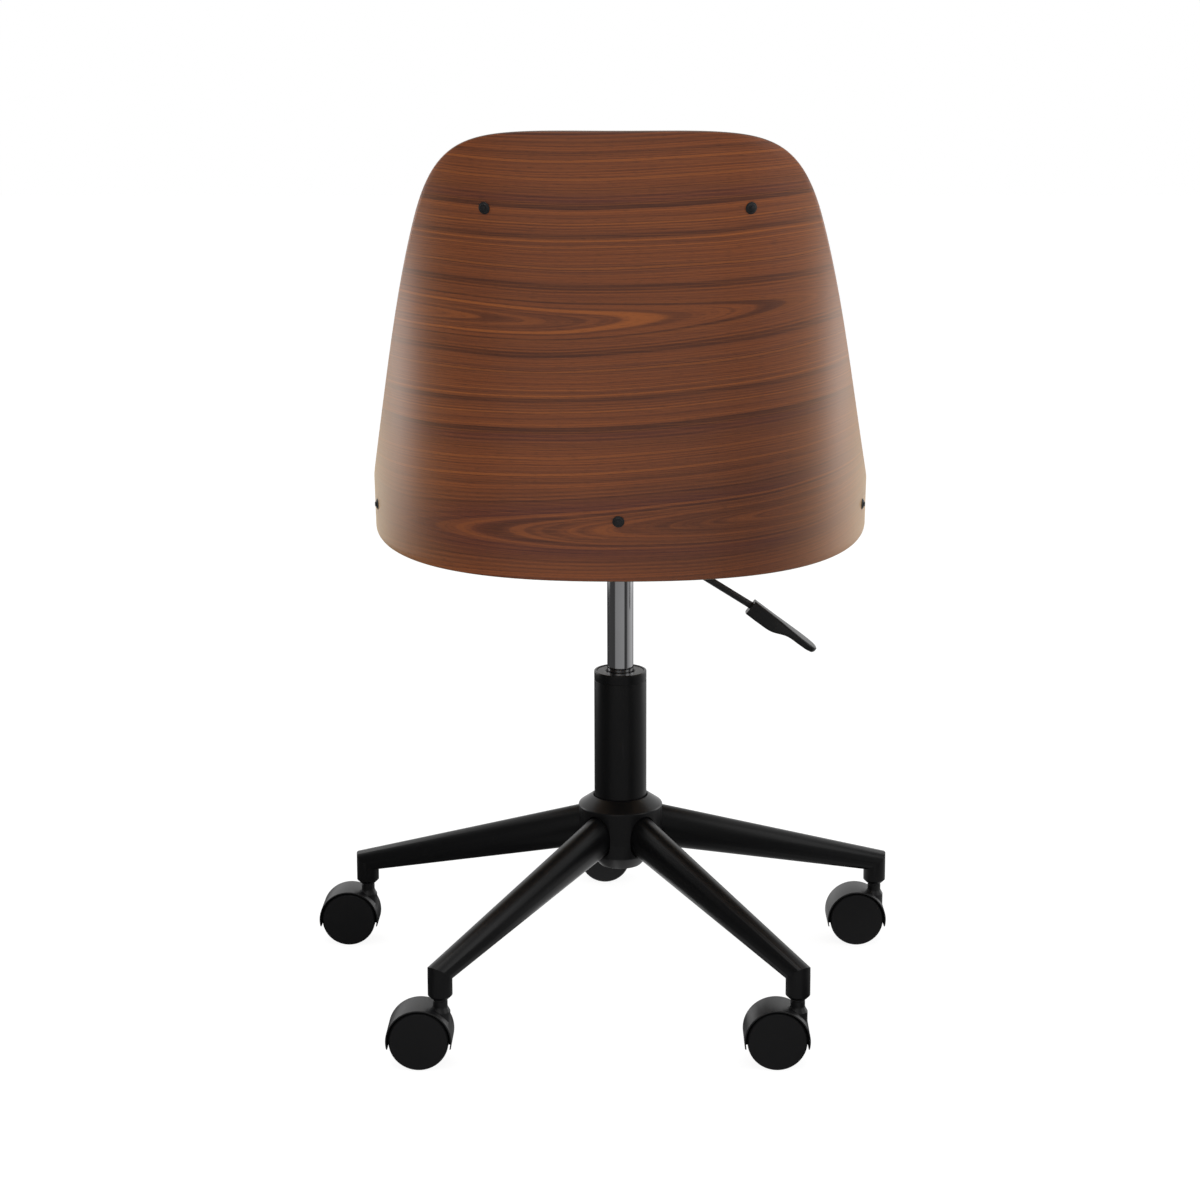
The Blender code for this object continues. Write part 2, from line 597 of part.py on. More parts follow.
def build_column(metal, plastic, steel):
    inside = COLUMN_RADIUS - COLUMN_WALL
    foot_inside = COLUMN_FOOT_RADIUS - COLUMN_WALL
    rod_hole = ROD_RADIUS + RUNNING_GAP
    groove_top = COLUMN_TOP - COLUMN_CAP_HEIGHT
    groove = COLUMN_RADIUS - COLUMN_GROOVE
    corners = [(rod_hole, COLUMN_BOTTOM, 0), (COLUMN_FOOT_RADIUS, COLUMN_BOTTOM, 0),
               (COLUMN_RADIUS, HUB_TOP, 0), (COLUMN_RADIUS, groove_top - COLUMN_GROOVE_HEIGHT, 0),
               (groove, groove_top - COLUMN_GROOVE_HEIGHT, 0), (groove, groove_top, 0),
               (COLUMN_RADIUS, groove_top, 0), (COLUMN_RADIUS, COLUMN_TOP, SMALL_FILLET),
               (inside, COLUMN_TOP, 0), (inside, HUB_TOP, 0), (foot_inside, COLUMN_FLOOR_TOP, 0),
               (rod_hole, COLUMN_FLOOR_TOP, 0)]
    place("base_column", turned("base_column", corners, TUBE_SIDES, 1), metal, (AXIS_X, 0, 0))
    bush_bore = PISTON_RADIUS + RUNNING_GAP
    corners = [(bush_bore, BUSH_TOP - BUSH_LENGTH, 0), (inside - BORE_GAP, BUSH_TOP - BUSH_LENGTH, 0),
               (inside - BORE_GAP, BUSH_TOP, 0), (BUSH_MOUTH_RADIUS, BUSH_TOP, 0),
               (bush_bore, BUSH_TOP - BUSH_MOUTH_DEPTH, 0)]
    place("column_bush", turned("column_bush", corners, TUBE_SIDES), plastic, (AXIS_X, 0, 0))
    bearing_top = BEARING_BOTTOM + BEARING_HEIGHT
    corners = [(rod_hole, BEARING_BOTTOM, 0), (BEARING_RADIUS, BEARING_BOTTOM, 0),
               (BEARING_RADIUS, bearing_top, 0), (rod_hole, bearing_top, 0)]
    place("thrust_bearing", turned("thrust_bearing", corners, SMALL_SIDES), steel, (AXIS_X, 0, 0))


def build_gas_lift(steel, chrome, plastic):
    swivel = pivot("seat_swivel_axis", (AXIS_X, 0, 0))
    head_top = ROD_HEAD_BOTTOM + ROD_HEAD_HEIGHT
    clip_top = COLUMN_BOTTOM - CLEARANCE
    groove = ROD_RADIUS - CLIP_GROOVE
    clip_bottom = clip_top - CLIP_THICKNESS
    corners = [(0, COLUMN_BOTTOM - ROD_FOOT, 0), (ROD_RADIUS, COLUMN_BOTTOM - ROD_FOOT, 0),
               (ROD_RADIUS, clip_bottom - CLEARANCE, 0), (groove, clip_bottom - CLEARANCE, 0),
               (groove, clip_top + CLEARANCE / 2, 0), (ROD_RADIUS, clip_top + CLEARANCE / 2, 0),
               (ROD_RADIUS, ROD_COLLAR_BOTTOM, 0), (ROD_COLLAR_RADIUS, ROD_COLLAR_BOTTOM, 0),
               (ROD_COLLAR_RADIUS, ROD_COLLAR_BOTTOM + ROD_COLLAR_HEIGHT, 0),
               (ROD_RADIUS, ROD_COLLAR_BOTTOM + ROD_COLLAR_HEIGHT, 0), (ROD_RADIUS, ROD_HEAD_BOTTOM, 0),
               (ROD_HEAD_RADIUS, ROD_HEAD_BOTTOM, 0), (ROD_HEAD_RADIUS, head_top, 0), (0, head_top, 0)]
    place("piston_rod", turned("piston_rod", corners, SMALL_SIDES), steel, parent=swivel)
    clip_hole = groove + BORE_GAP
    corners = [(clip_hole, clip_bottom, 0), (CLIP_RADIUS, clip_bottom, 0), (CLIP_RADIUS, clip_top, 0),
               (clip_hole, clip_top, 0)]
    place("retaining_clip", turned("retaining_clip", corners, SMALL_SIDES), steel, parent=swivel)
    lift = pivot("seat_lift_axis", (0, 0, 0), swivel)
    guide_hole = ROD_RADIUS + RUNNING_GAP
    guide_top = PISTON_BOTTOM + PISTON_GUIDE
    pin_hole = RELEASE_PIN_RADIUS + RUNNING_GAP
    pin_bottom = PISTON_TOP + RELEASE_PIN_STANDS - RELEASE_PIN_LENGTH
    hole_bottom = pin_bottom - RELEASE_TRAVEL - CLEARANCE
    bore_top = guide_top + PISTON_BORE_LENGTH
    corners = [(guide_hole, PISTON_BOTTOM, 0), (PISTON_RADIUS, PISTON_BOTTOM, 0),
               (PISTON_RADIUS, PISTON_TAPER_BOTTOM, 0), (PISTON_TIP_RADIUS, PISTON_TOP, 0),
               (pin_hole, PISTON_TOP, 0), (pin_hole, hole_bottom, 0), (0, hole_bottom, 0),
               (0, bore_top, 0), (PISTON_BORE_RADIUS, bore_top, 0), (PISTON_BORE_RADIUS, guide_top, 0),
               (guide_hole, guide_top, 0)]
    place("gas_cylinder", turned("gas_cylinder", corners, TUBE_SIDES, 1), chrome, parent=lift)
    pin_top = pin_bottom + RELEASE_PIN_LENGTH
    corners = [(0, pin_bottom, 0), (RELEASE_PIN_RADIUS, pin_bottom, 0),
               (RELEASE_PIN_RADIUS, pin_top, SMALL_FILLET), (0, pin_top, 0)]
    place("release_pin", turned("release_pin", corners, SMALL_SIDES, 1), plastic, parent=lift)
    return lift


# Seat plate and lever

def piston_outside(height):
    share = (height - PISTON_TAPER_BOTTOM) / (PISTON_TOP - PISTON_TAPER_BOTTOM)
    return blend(PISTON_RADIUS, PISTON_TIP_RADIUS, min(max(share, 0.0), 1.0))


def bolt_places():
    return [(x, y) for x in (PLATE_BOLT_X, -PLATE_BOLT_X) for y in (PLATE_BOLT_Y, -PLATE_BOLT_Y)]


def build_seat_plate(metal, steel, lift):
    top = SEAT_UNDERSIDE - CLEARANCE
    bottom = top - PLATE_SHEET
    floor = top - PAN_DEPTH
    outline = rounded_box(PLATE_LENGTH_X / 2, PLATE_LENGTH_Y / 2, PLATE_CORNER)
    plate = place("seat_plate", prism("seat_plate", outline, bottom, top), metal)
    outer = rounded_box(PAN_HALF_X, PAN_HALF_Y, PAN_CORNER)
    combine(plate, place("pan", prism("pan", outer, floor, bottom + PLATE_SHEET / 2)), "UNION")
    inner = rounded_box(PAN_HALF_X - PLATE_SHEET, PAN_HALF_Y - PLATE_SHEET, PAN_CORNER - PLATE_SHEET)
    combine(plate, place("hollow", prism("hollow", inner, floor + PLATE_SHEET, top + PLATE_SHEET)))
    hole_end = floor + PLATE_SHEET * 2
    drill(plate, TAPER_SOCKET_RADIUS + CLEARANCE, (0, 0, floor - PLATE_SHEET), (0, 0, hole_end), TUBE_SIDES)
    wall = -PAN_HALF_X + PLATE_SHEET / 2
    slot_height = LEVER_PIVOT_Z - (LEVER_PIVOT_X - wall) * math.tan(math.radians(LEVER_SLOPE))
    slot = prism("slot", rounded_box(LEVER_SLOT_HALF_WIDTH, LEVER_SLOT_HALF_HEIGHT, LEVER_SLOT_CORNER),
                 -PLATE_SHEET, PLATE_SHEET)
    combine(plate, place("slot", slot, None, (wall, 0, slot_height), (QUARTER_TURN, 0, QUARTER_TURN)))
    reach = PAN_HALF_Y + PLATE_SHEET
    drill(plate, PIVOT_PIN_RADIUS + BORE_GAP, (LEVER_PIVOT_X, -reach, LEVER_PIVOT_Z),
          (LEVER_PIVOT_X, reach, LEVER_PIVOT_Z))
    for x, y in bolt_places():
        drill(plate, BOLT_RADIUS + BORE_GAP, (x, y, bottom - PLATE_SHEET), (x, y, top + PLATE_SHEET))
    plate.parent = lift
    corners = [(piston_outside(height) + CLEARANCE, height, 0)
               for height in (TAPER_SOCKET_BOTTOM, TAPER_SOCKET_TOP)]
    corners += [(TAPER_SOCKET_RADIUS, TAPER_SOCKET_TOP, SMALL_FILLET),
                (TAPER_SOCKET_RADIUS, TAPER_SOCKET_BOTTOM, 0)]
    place("taper_socket", turned("taper_socket", corners, TUBE_SIDES, 1), steel, parent=lift)
    head_top = bottom - CLEARANCE
    head_bottom = head_top - BOLT_HEAD_HEIGHT
    hexagon = arc(0, 0, BOLT_HEAD_RADIUS, 0, 300, 5)
    bolt = place("plate_bolt", prism("plate_bolt", hexagon, head_bottom, head_top))
    shank_bottom = (head_top + head_bottom) / 2
    combine(bolt, place("shank", rod("shank", BOLT_RADIUS, shank_bottom, head_top + BOLT_LENGTH)), "UNION")
    for number, (x, y) in enumerate(bolt_places(), 1):
        place(f"plate_bolt_{number}", bolt.data, steel, (x, y, 0), parent=lift)
    bpy.data.objects.remove(bolt, do_unlink=True)


def lever_line(distance):
    """A point on the rod's centre line, in X and Z."""
    slope = math.radians(LEVER_SLOPE)
    return Vector((LEVER_PIVOT_X - distance * math.cos(slope), LEVER_PIVOT_Z - distance * math.sin(slope)))


def paddle_ring(along, bottom, top, half_width):
    """A chamfered section of the paddle, square to its slope."""
    corner = min(PADDLE_EDGE, (top - bottom) * PADDLE_EDGE_SHARE)
    slope = math.radians(PADDLE_SLOPE)
    ring = []
    for y, rise in ((half_width - corner, bottom), (half_width, bottom + corner), (half_width, top - corner),
                    (half_width - corner, top), (corner - half_width, top), (-half_width, top - corner),
                    (-half_width, bottom + corner), (corner - half_width, bottom)):
        x = PADDLE_START_X - along * math.cos(slope) - rise * math.sin(slope)
        z = PADDLE_START_Z - along * math.sin(slope) + rise * math.cos(slope)
        ring.append((x, y, z))
    return ring


def build_lever(steel, plastic, lift):
    axis = pivot("lever_axis", (LEVER_PIVOT_X, 0, LEVER_PIVOT_Z), lift)
    to_axis = Matrix.Translation((-LEVER_PIVOT_X, 0, -LEVER_PIVOT_Z))
    finger_bottom = PISTON_TOP + RELEASE_PIN_STANDS + LEVER_FINGER_GAP
    finger_top = finger_bottom + LEVER_FINGER_THICKNESS
    left = LEVER_PIVOT_X - LEVER_FINGER_THICKNESS / 2
    right = LEVER_PIVOT_X + LEVER_FINGER_THICKNESS / 2
    outline = [(left, -LEVER_PIVOT_Z, 0), (left, -finger_top, LEVER_FINGER_THICKNESS),
               (LEVER_FINGER_REACH, -finger_top, 0), (LEVER_FINGER_REACH, -finger_bottom, 0),
               (right, -finger_bottom, 0), (right, -LEVER_PIVOT_Z, 0)]
    finger = prism("lever_rod", rounded(outline), -LEVER_FINGER_HALF_WIDTH, LEVER_FINGER_HALF_WIDTH)
    finger.transform(Matrix.Rotation(-QUARTER_TURN, 4, "X"))
    lever = place("lever_rod", finger, steel)
    eye = rod("eye", LEVER_EYE_RADIUS, -LEVER_EYE_HALF_WIDTH, LEVER_EYE_HALF_WIDTH)
    pivot_place = (LEVER_PIVOT_X, 0, LEVER_PIVOT_Z)
    combine(lever, place("eye", eye, None, pivot_place, (QUARTER_TURN, 0, 0)), "UNION")
    tilt = math.radians(LEVER_SLOPE) + QUARTER_TURN
    arm = rod("arm", LEVER_ROD_RADIUS, LEVER_EYE_RADIUS / 2, LEVER_ROD_LENGTH)
    combine(lever, place("arm", arm, None, pivot_place, (0, -tilt, 0)), "UNION")
    reach = LEVER_EYE_HALF_WIDTH * 2
    drill(lever, PIVOT_PIN_RADIUS + BORE_GAP, (LEVER_PIVOT_X, -reach, LEVER_PIVOT_Z),
          (LEVER_PIVOT_X, reach, LEVER_PIVOT_Z))
    lever.data.transform(to_axis)
    lever.parent = axis
    rings = [paddle_ring(*section) for section in PADDLE_SECTIONS]
    paddle = place("lever_paddle", loft("lever_paddle", rings), plastic)
    to_paddle = (LEVER_PIVOT_X - PADDLE_START_X) / math.cos(math.radians(LEVER_SLOPE))
    start = lever_line(to_paddle - LEVER_EYE_RADIUS)
    end = lever_line(LEVER_ROD_LENGTH + CLEARANCE)
    drill(paddle, LEVER_ROD_RADIUS + BORE_GAP, (start.x, 0, start.y), (end.x, 0, end.y))
    paddle.data.transform(to_axis)
    paddle.parent = axis
    pin_half = PAN_HALF_Y + PIVOT_PIN_PROUD
    head = PAN_HALF_Y + CLEARANCE
    corners = [(0, -pin_half, 0), (PIVOT_PIN_RADIUS, -pin_half, 0), (PIVOT_PIN_RADIUS, head, 0),
               (PIVOT_PIN_HEAD_RADIUS, head, 0), (PIVOT_PIN_HEAD_RADIUS, head + PIVOT_PIN_HEAD, 0),
               (0, head + PIVOT_PIN_HEAD, 0)]
    place("lever_pivot_pin", turned("lever_pivot_pin", corners, SMALL_SIDES), steel,
          pivot_place, (-QUARTER_TURN, 0, 0), lift)


# Bent shell

LEAN = math.tan(math.radians(SHELL_RECLINE))
BOARD_INWARD = SHELL_THICKNESS + CLEARANCE
BOARD_TOP = SEAT_UNDERSIDE + SEAT_BOARD_THICKNESS


def table_value(table, value):
    """Linear look-up in a table of (position, value) pairs in rising order."""
    for (start, low), (end, high) in zip(table, table[1:]):
        if value <= end:
            return blend(low, high, max(value - start, 0.0) / (end - start))
    return table[-1][1]


def rim_plan():
    """The rim's half plan as (distance along, point, inward normal)."""
    side_y = -SHELL_SIDE_FRONT + SHELL_SIDE_HANDLE
    knots = ((0, SHELL_BACK), (SHELL_BACK_HANDLE, SHELL_BACK), (SHELL_HALF_WIDTH, side_y),
             (SHELL_HALF_WIDTH, -SHELL_SIDE_FRONT))
    points = interpolate_bezier(*[Vector(knot) for knot in knots], PLAN_SAMPLES)
    rows = []
    along = 0.0
    for index, point in enumerate(points):
        if index:
            along += (point - points[index - 1]).length
        tangent = (points[min(index + 1, PLAN_SAMPLES - 1)] - points[max(index - 1, 0)]).normalized()
        if index == 0:
            tangent = Vector((1, 0))
        rows.append((along, point, Vector((tangent.y, -tangent.x))))
    return rows


PLAN = rim_plan()


def plan_at(along, inward=0.0):
    """A point of the plan, moved inward from the shell's outer face."""
    distance = abs(along)
    for (start, point, normal), (end, next_point, next_normal) in zip(PLAN, PLAN[1:]):
        if distance <= end:
            share = (distance - start) / (end - start)
            inner = normal.lerp(next_normal, share).normalized() * inward
            here = point.lerp(next_point, share) + inner
            return Vector((math.copysign(here.x, along), here.y))
    raise ValueError("this point lies past the end of the rim")


def sheet_point(along, inward, height):
    """A point of the leaning sheet, its height taken from the rim."""
    point = plan_at(along, inward)
    return Vector((point.x, point.y + height * LEAN, RIM_HEIGHT + height))


def edge_outline():
    """The sheet's upper edge as (distance along, height) from the middle to the wing."""
    slope = math.radians(EDGE_SHOULDER_SLOPE)
    shoulder = Vector((EDGE_SHOULDER_ALONG, EDGE_SHOULDER_HEIGHT))
    down = Vector((math.cos(slope), -math.sin(slope)))
    wing = Vector((EDGE_WING_ALONG, WING_NOSE_RADIUS * 2))
    top = Vector((0, EDGE_TOP_HEIGHT))
    upper = interpolate_bezier(top, top + Vector((EDGE_TOP_HANDLE, 0)),
                               shoulder - down * EDGE_SHOULDER_UP_HANDLE, shoulder, TOP_EDGE_STEPS + 1)
    lower = interpolate_bezier(shoulder, shoulder + down * EDGE_SHOULDER_DOWN_HANDLE,
                               wing - Vector((EDGE_WING_HANDLE, 0)), wing, SIDE_EDGE_STEPS + 1)
    return [tuple(point) for point in upper + lower[1:]]


EDGE = edge_outline()


def bent_sheet(name, stations, outer, thickness, edge=0.0):
    """A bent board from (along, low, high) stations of one half, mirrored."""
    inner = outer + thickness
    full = [(-along, low, high) for along, low, high in reversed(stations) if along > 0] + stations
    rings = []
    for along, low, high in full:
        section = [(outer, low), (inner, low), (inner, high), (outer, high)]
        if edge:
            section = [(outer, low + edge), (outer + edge, low), (inner - edge, low), (inner, low + edge)]
            section += [(inner, high - edge), (inner - edge, high), (outer + edge, high)]
            section.append((outer, high - edge))
        rings.append([sheet_point(along, depth, height) for depth, height in section])
    return loft(name, rings)


def half_stations(end, low, high):
    """The shell's own stations up to an end, so that the boards fit its facets."""
    steps = [along for along, height in EDGE if along < end - CLEARANCE] + [end]
    return [(along, low(along), high(along)) for along in steps]


def screw_places():
    return [(TOP_SCREW_ALONG, TOP_SCREW_HEIGHT), (-TOP_SCREW_ALONG, TOP_SCREW_HEIGHT),
            (0.0, BACK_SCREW_HEIGHT), (SIDE_SCREW_ALONG, SIDE_SCREW_HEIGHT),
            (-SIDE_SCREW_ALONG, SIDE_SCREW_HEIGHT)]


def screw_frame(along, height):
    """A screw's place on the outer face and its outward direction."""
    here = sheet_point(along, 0.0, height)
    tangent = sheet_point(along + CLEARANCE, 0.0, height) - sheet_point(along - CLEARANCE, 0.0, height)
    outward = tangent.cross(Vector((0, LEAN, 1))).normalized()
    if outward.dot(sheet_point(along, SHELL_THICKNESS, height) - here) > 0:
        outward.negate()
    return here, outward


def drill_for_screws(piece, places):
    for along, height in places:
        here, outward = screw_frame(along, height)
        drill(piece, SCREW_RADIUS + BORE_GAP, here + outward * SCREW_HEAD_HEIGHT,
              here - outward * (SCREW_LENGTH + CLEARANCE))


def shell_mesh_stations():
    stations = [(along, 0.0, height) for along, height in EDGE]
    for step in range(1, NOSE_STEPS + 1):
        angle = math.radians(NOSE_END_ANGLE) * step / NOSE_STEPS
        along = EDGE_WING_ALONG + WING_NOSE_RADIUS * math.sin(angle)
        half = WING_NOSE_RADIUS * math.cos(angle)
        stations.append((along, WING_NOSE_RADIUS - half, WING_NOSE_RADIUS + half))
    return stations


def rail_top(along):
    share = smooth_step(abs(along), RAIL_RISE_START, RAIL_RISE_END)
    return BOARD_TOP - RIM_HEIGHT + blend(RAIL_BACK_HEIGHT, RAIL_SIDE_HEIGHT, share)


def shell_top(along):
    return table_value(EDGE, abs(along))


def build_shell(wood, board_wood, steel, lift):
    places = screw_places()
    sheet = bent_sheet("back_shell", shell_mesh_stations(), 0.0, SHELL_THICKNESS, SHELL_EDGE_ROUND)
    shell = place("back_shell", sheet, wood)
    drill_for_screws(shell, places)
    shell.parent = lift
    board_above_rim = BOARD_TOP - RIM_HEIGHT + CLEARANCE
    stations = half_stations(RAIL_END, lambda along: board_above_rim, rail_top)
    rail_sheet = bent_sheet("seat_rail", stations, BOARD_INWARD, RAIL_THICKNESS)
    rail = place("seat_rail", rail_sheet, board_wood)
    drill_for_screws(rail, places[2:])
    rail.parent = lift
    stations = half_stations(BACK_BOARD_END, lambda along: BACK_BOARD_BOTTOM,
                             lambda along: shell_top(along) - BACK_BOARD_INSET)
    pad_sheet = bent_sheet("back_pad_board", stations, BOARD_INWARD, BACK_BOARD_THICKNESS)
    pad = place("back_pad_board", pad_sheet, board_wood)
    drill_for_screws(pad, places[:2])
    pad.parent = lift
    under = CLEARANCE
    rim = under + SCREW_HEAD_RIM
    top = under + SCREW_HEAD_HEIGHT
    corners = [(0, -SCREW_LENGTH, 0), (SCREW_RADIUS, -SCREW_LENGTH, 0), (SCREW_RADIUS, under, 0),
               (SCREW_HEAD_RADIUS, under, 0), (SCREW_HEAD_RADIUS, rim, SMALL_FILLET),
               (SCREW_CROWN_RADIUS, top, SMALL_FILLET), (0, top, 0)]
    screw = place("shell_screw", turned("shell_screw", corners, SMALL_SIDES, 1))
    hexagon = arc(0, 0, SCREW_SOCKET_RADIUS, 0, 300, 5)
    combine(screw, place("socket", prism("socket", hexagon, top - SCREW_SOCKET_DEPTH, top + CLEARANCE)))
    for number, (along, height) in enumerate(places, 1):
        here, outward = screw_frame(along, height)
        turn = outward.to_track_quat("Z", "Y").to_euler()
        place(f"shell_screw_{number}", screw.data, steel, here, turn, lift)
    bpy.data.objects.remove(screw, do_unlink=True)


# Seat and cushions

def seat_steps():
    """Stations of the seat's half outline, with two at the rail's end."""
    past_rail = RAIL_END + SEAT_CUSHION_GAP
    steps = [along for along, edge in EDGE if along < SEAT_SIDE_END - CLEARANCE]
    return sorted(steps + [past_rail, past_rail + SEAT_CUSHION_GAP, SEAT_SIDE_END])


def seat_loop(inward, height):
    """A closed loop round the seat, level, moved inward from the shell's outer face."""
    half = [plan_at(along, inward) for along in seat_steps()]
    direction = (plan_at(SEAT_SIDE_END, inward) - plan_at(SEAT_SIDE_END - CLEARANCE, inward)).normalized()
    front = -SEAT_FRONT + inward - BOARD_INWARD
    corner = interpolate_bezier(half[-1], half[-1] + direction * SEAT_CORNER_HANDLE,
                                Vector((SEAT_FRONT_HANDLE, front)), Vector((0, front)), FRONT_STEPS + 1)
    half += corner[1:]
    mirrored = [Vector((-point.x, point.y)) for point in reversed(half[1:-1])]
    return [Vector((point.x, point.y + height * LEAN, RIM_HEIGHT + height)) for point in half + mirrored]


def build_seat(board_wood, cover, lift):
    underside = SEAT_UNDERSIDE - RIM_HEIGHT
    outline = seat_loop(BOARD_INWARD, underside)
    board = place("seat_board", prism("seat_board", outline, SEAT_UNDERSIDE, BOARD_TOP), board_wood)
    hole_top = SEAT_UNDERSIDE + BOLT_LENGTH - CLEARANCE * 2 - PLATE_SHEET + BOLT_HOLE_SPARE
    for x, y in bolt_places():
        drill(board, BOLT_RADIUS + BORE_GAP, (x, y, SEAT_UNDERSIDE - PLATE_SHEET), (x, y, hole_top))
    board.parent = lift
    place("seat_cushion", seat_cushion_mesh(), cover, parent=lift)
    place("back_cushion", back_cushion_mesh(), cover, parent=lift)


def seat_cushion_mesh():
    """A cushion that sits inside the rail and bulges over it, with a crown."""
    bottom = BOARD_TOP - RIM_HEIGHT + CLEARANCE
    foot = BOARD_INWARD + RAIL_THICKNESS + SEAT_CUSHION_GAP
    side = SHELL_THICKNESS + SEAT_CUSHION_GAP + SEAT_CUSHION_BULGE
    seam = BOARD_TOP - RIM_HEIGHT + SEAT_CUSHION_EDGE
    rings = [seat_loop(foot, bottom)]
    rings += [lifted_over_rail(seat_loop(inward, bottom), bottom) for inward in (foot, side)]
    middle = blend(rail_top(0.0), seam, 0.5)
    turn = seam + SEAT_CUSHION_CROWN * SEAT_CUSHION_TURN_RISE
    shoulder_top = seam + SEAT_CUSHION_CROWN * SEAT_CUSHION_SHOULDER_RISE
    for inward, height in ((side - SEAT_CUSHION_BULGE, middle), (side, seam - SEAT_CUSHION_SEAM * 2),
                           (side + SEAT_CUSHION_SEAM, seam), (side, seam + SEAT_CUSHION_SEAM * 2),
                           (side + SEAT_CUSHION_SHOULDER * SEAT_CUSHION_TURN, turn),
                           (side + SEAT_CUSHION_SHOULDER, shoulder_top)):
        rings.append(front_dropped(seat_loop(inward, height), (height - bottom) / (seam - bottom)))
    shoulder = rings[-1]
    centre = Vector((0, -SEAT_CENTRE_FORWARD, RIM_HEIGHT + seam + SEAT_CUSHION_CROWN))
    for share in SEAT_CUSHION_RINGS:
        rise = 1.0 - (1.0 - share) ** 2
        ring = []
        for point in shoulder:
            flat = point.lerp(centre, share)
            ring.append((flat.x, flat.y, blend(point.z, centre.z, rise)))
        rings.append(ring)
    return loft("seat_cushion", rings)


def lifted_over_rail(ring, bottom):
    """Raise the underside's points over the rail and leave the others as a low skirt."""
    steps = seat_steps()
    lifted = []
    for index, point in enumerate(ring):
        station = min(index, len(ring) - index)
        rise = SEAT_CUSHION_SKIRT
        if station < len(steps) and steps[station] < RAIL_END + SEAT_CUSHION_GAP * 1.5:
            rise = rail_top(steps[station]) + SEAT_CUSHION_GAP - bottom
        lifted.append(Vector((point.x, point.y + rise * LEAN, point.z + rise)))
    return lifted


def front_dropped(ring, share):
    """Lower a ring towards the seat's front."""
    full = SEAT_FRONT_DROP * min(share, 1.0)
    start = SEAT_FRONT * SEAT_DROP_START
    return [Vector((point.x, point.y, point.z - full * smooth_step(-point.y, start, SEAT_FRONT)))
            for point in ring]


def back_cushion_mesh():
    """A pad that follows the shell, wraps its board and fills out to the middle."""
    rim = SHELL_THICKNESS + BACK_CUSHION_GAP
    pocket = BOARD_INWARD + BACK_BOARD_THICKNESS + CLEARANCE
    edge = rim + BACK_CUSHION_EDGE
    full = pocket + BACK_CUSHION_THICKNESS
    fade_start = BACK_BOARD_END + BACK_POCKET_SIDE_GAP
    fade_end = fade_start + BACK_POCKET_FADE
    half = [along for along, edge_height in EDGE if along < BACK_BOARD_END - CLEARANCE]
    half += [BACK_BOARD_END, fade_start, fade_end]
    half += [blend(fade_end, BACK_CUSHION_END, share) for share in BACK_CUSHION_END_STEPS]
    half.append(BACK_CUSHION_END)
    rows = list(BACK_CUSHION_ROWS) + [-row for row in reversed(BACK_CUSHION_ROWS)]
    rings = []
    for along in [-value for value in reversed(half[1:])] + half:
        share = along / BACK_CUSHION_END
        low = BACK_CUSHION_BOTTOM
        high = shell_top(along) - BACK_CUSHION_INSET
        outside = smooth_step(abs(along), fade_start, fade_end)
        depth = blend(pocket, rim + BACK_POCKET_SEAM, outside)
        pocket_low = BACK_BOARD_BOTTOM - BACK_POCKET_SIDE_GAP
        pocket_high = shell_top(along) - BACK_BOARD_INSET + BACK_POCKET_SIDE_GAP
        roll = BACK_CUSHION_ROLL
        section = [(rim, low + roll), (rim, pocket_low), (depth, pocket_low), (depth, pocket_high),
                   (rim, pocket_high), (rim, high - roll), (rim + roll, high), (edge - roll, high)]
        middle = (low + high) / 2
        side_fill = max(1.0 - abs(share) ** BACK_CUSHION_SIDE_POWER, 0.0)
        for across in rows:
            fill = math.sqrt((1.0 - abs(across) ** BACK_CUSHION_CROWN_POWER) * side_fill)
            section.append((blend(edge, full, fill), middle + (high - middle) * across))
        section += [(edge - roll, low), (rim + roll, low)]
        rings.append([sheet_point(along, inward, height) for inward, height in section])
    return loft("back_cushion", rings)


clear_objects()
BLACK_PAINT = make_material("black_paint", (0.012, 0.012, 0.013), 0.45)
BLACK_PLASTIC = make_material("black_plastic", (0.015, 0.015, 0.016), 0.5)
WHEEL_PLASTIC = make_material("wheel_plastic", (0.010, 0.010, 0.011), 0.6)
BLACK_STEEL = make_material("black_steel", (0.03, 0.03, 0.032), 0.4, 0.6)
POLISHED_STEEL = make_material("polished_steel", (0.45, 0.45, 0.46), 0.2, 1.0)
WALNUT = make_material("walnut_veneer", (0.16, 0.065, 0.028), 0.45)
BOARD_WOOD = make_material("board_wood", (0.42, 0.30, 0.18), 0.7)
COVER = make_material("black_cover", (0.02, 0.02, 0.021), 0.6)

build_casters(BLACK_PLASTIC, BLACK_STEEL, WHEEL_PLASTIC)
build_base(BLACK_PAINT)
build_column(BLACK_PAINT, BLACK_PLASTIC, BLACK_STEEL)
SEAT_LIFT = build_gas_lift(BLACK_STEEL, POLISHED_STEEL, BLACK_PLASTIC)
build_seat_plate(BLACK_PAINT, BLACK_STEEL, SEAT_LIFT)
build_lever(BLACK_STEEL, BLACK_PLASTIC, SEAT_LIFT)
build_shell(WALNUT, BOARD_WOOD, BLACK_STEEL, SEAT_LIFT)
build_seat(BOARD_WOOD, COVER, SEAT_LIFT)
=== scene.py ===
import json
import math
import bpy
import numpy as np
from mathutils import Matrix, Vector
from mathutils.bvhtree import BVHTree
from mathutils.geometry import interpolate_bezier
from mathutils.kdtree import KDTree


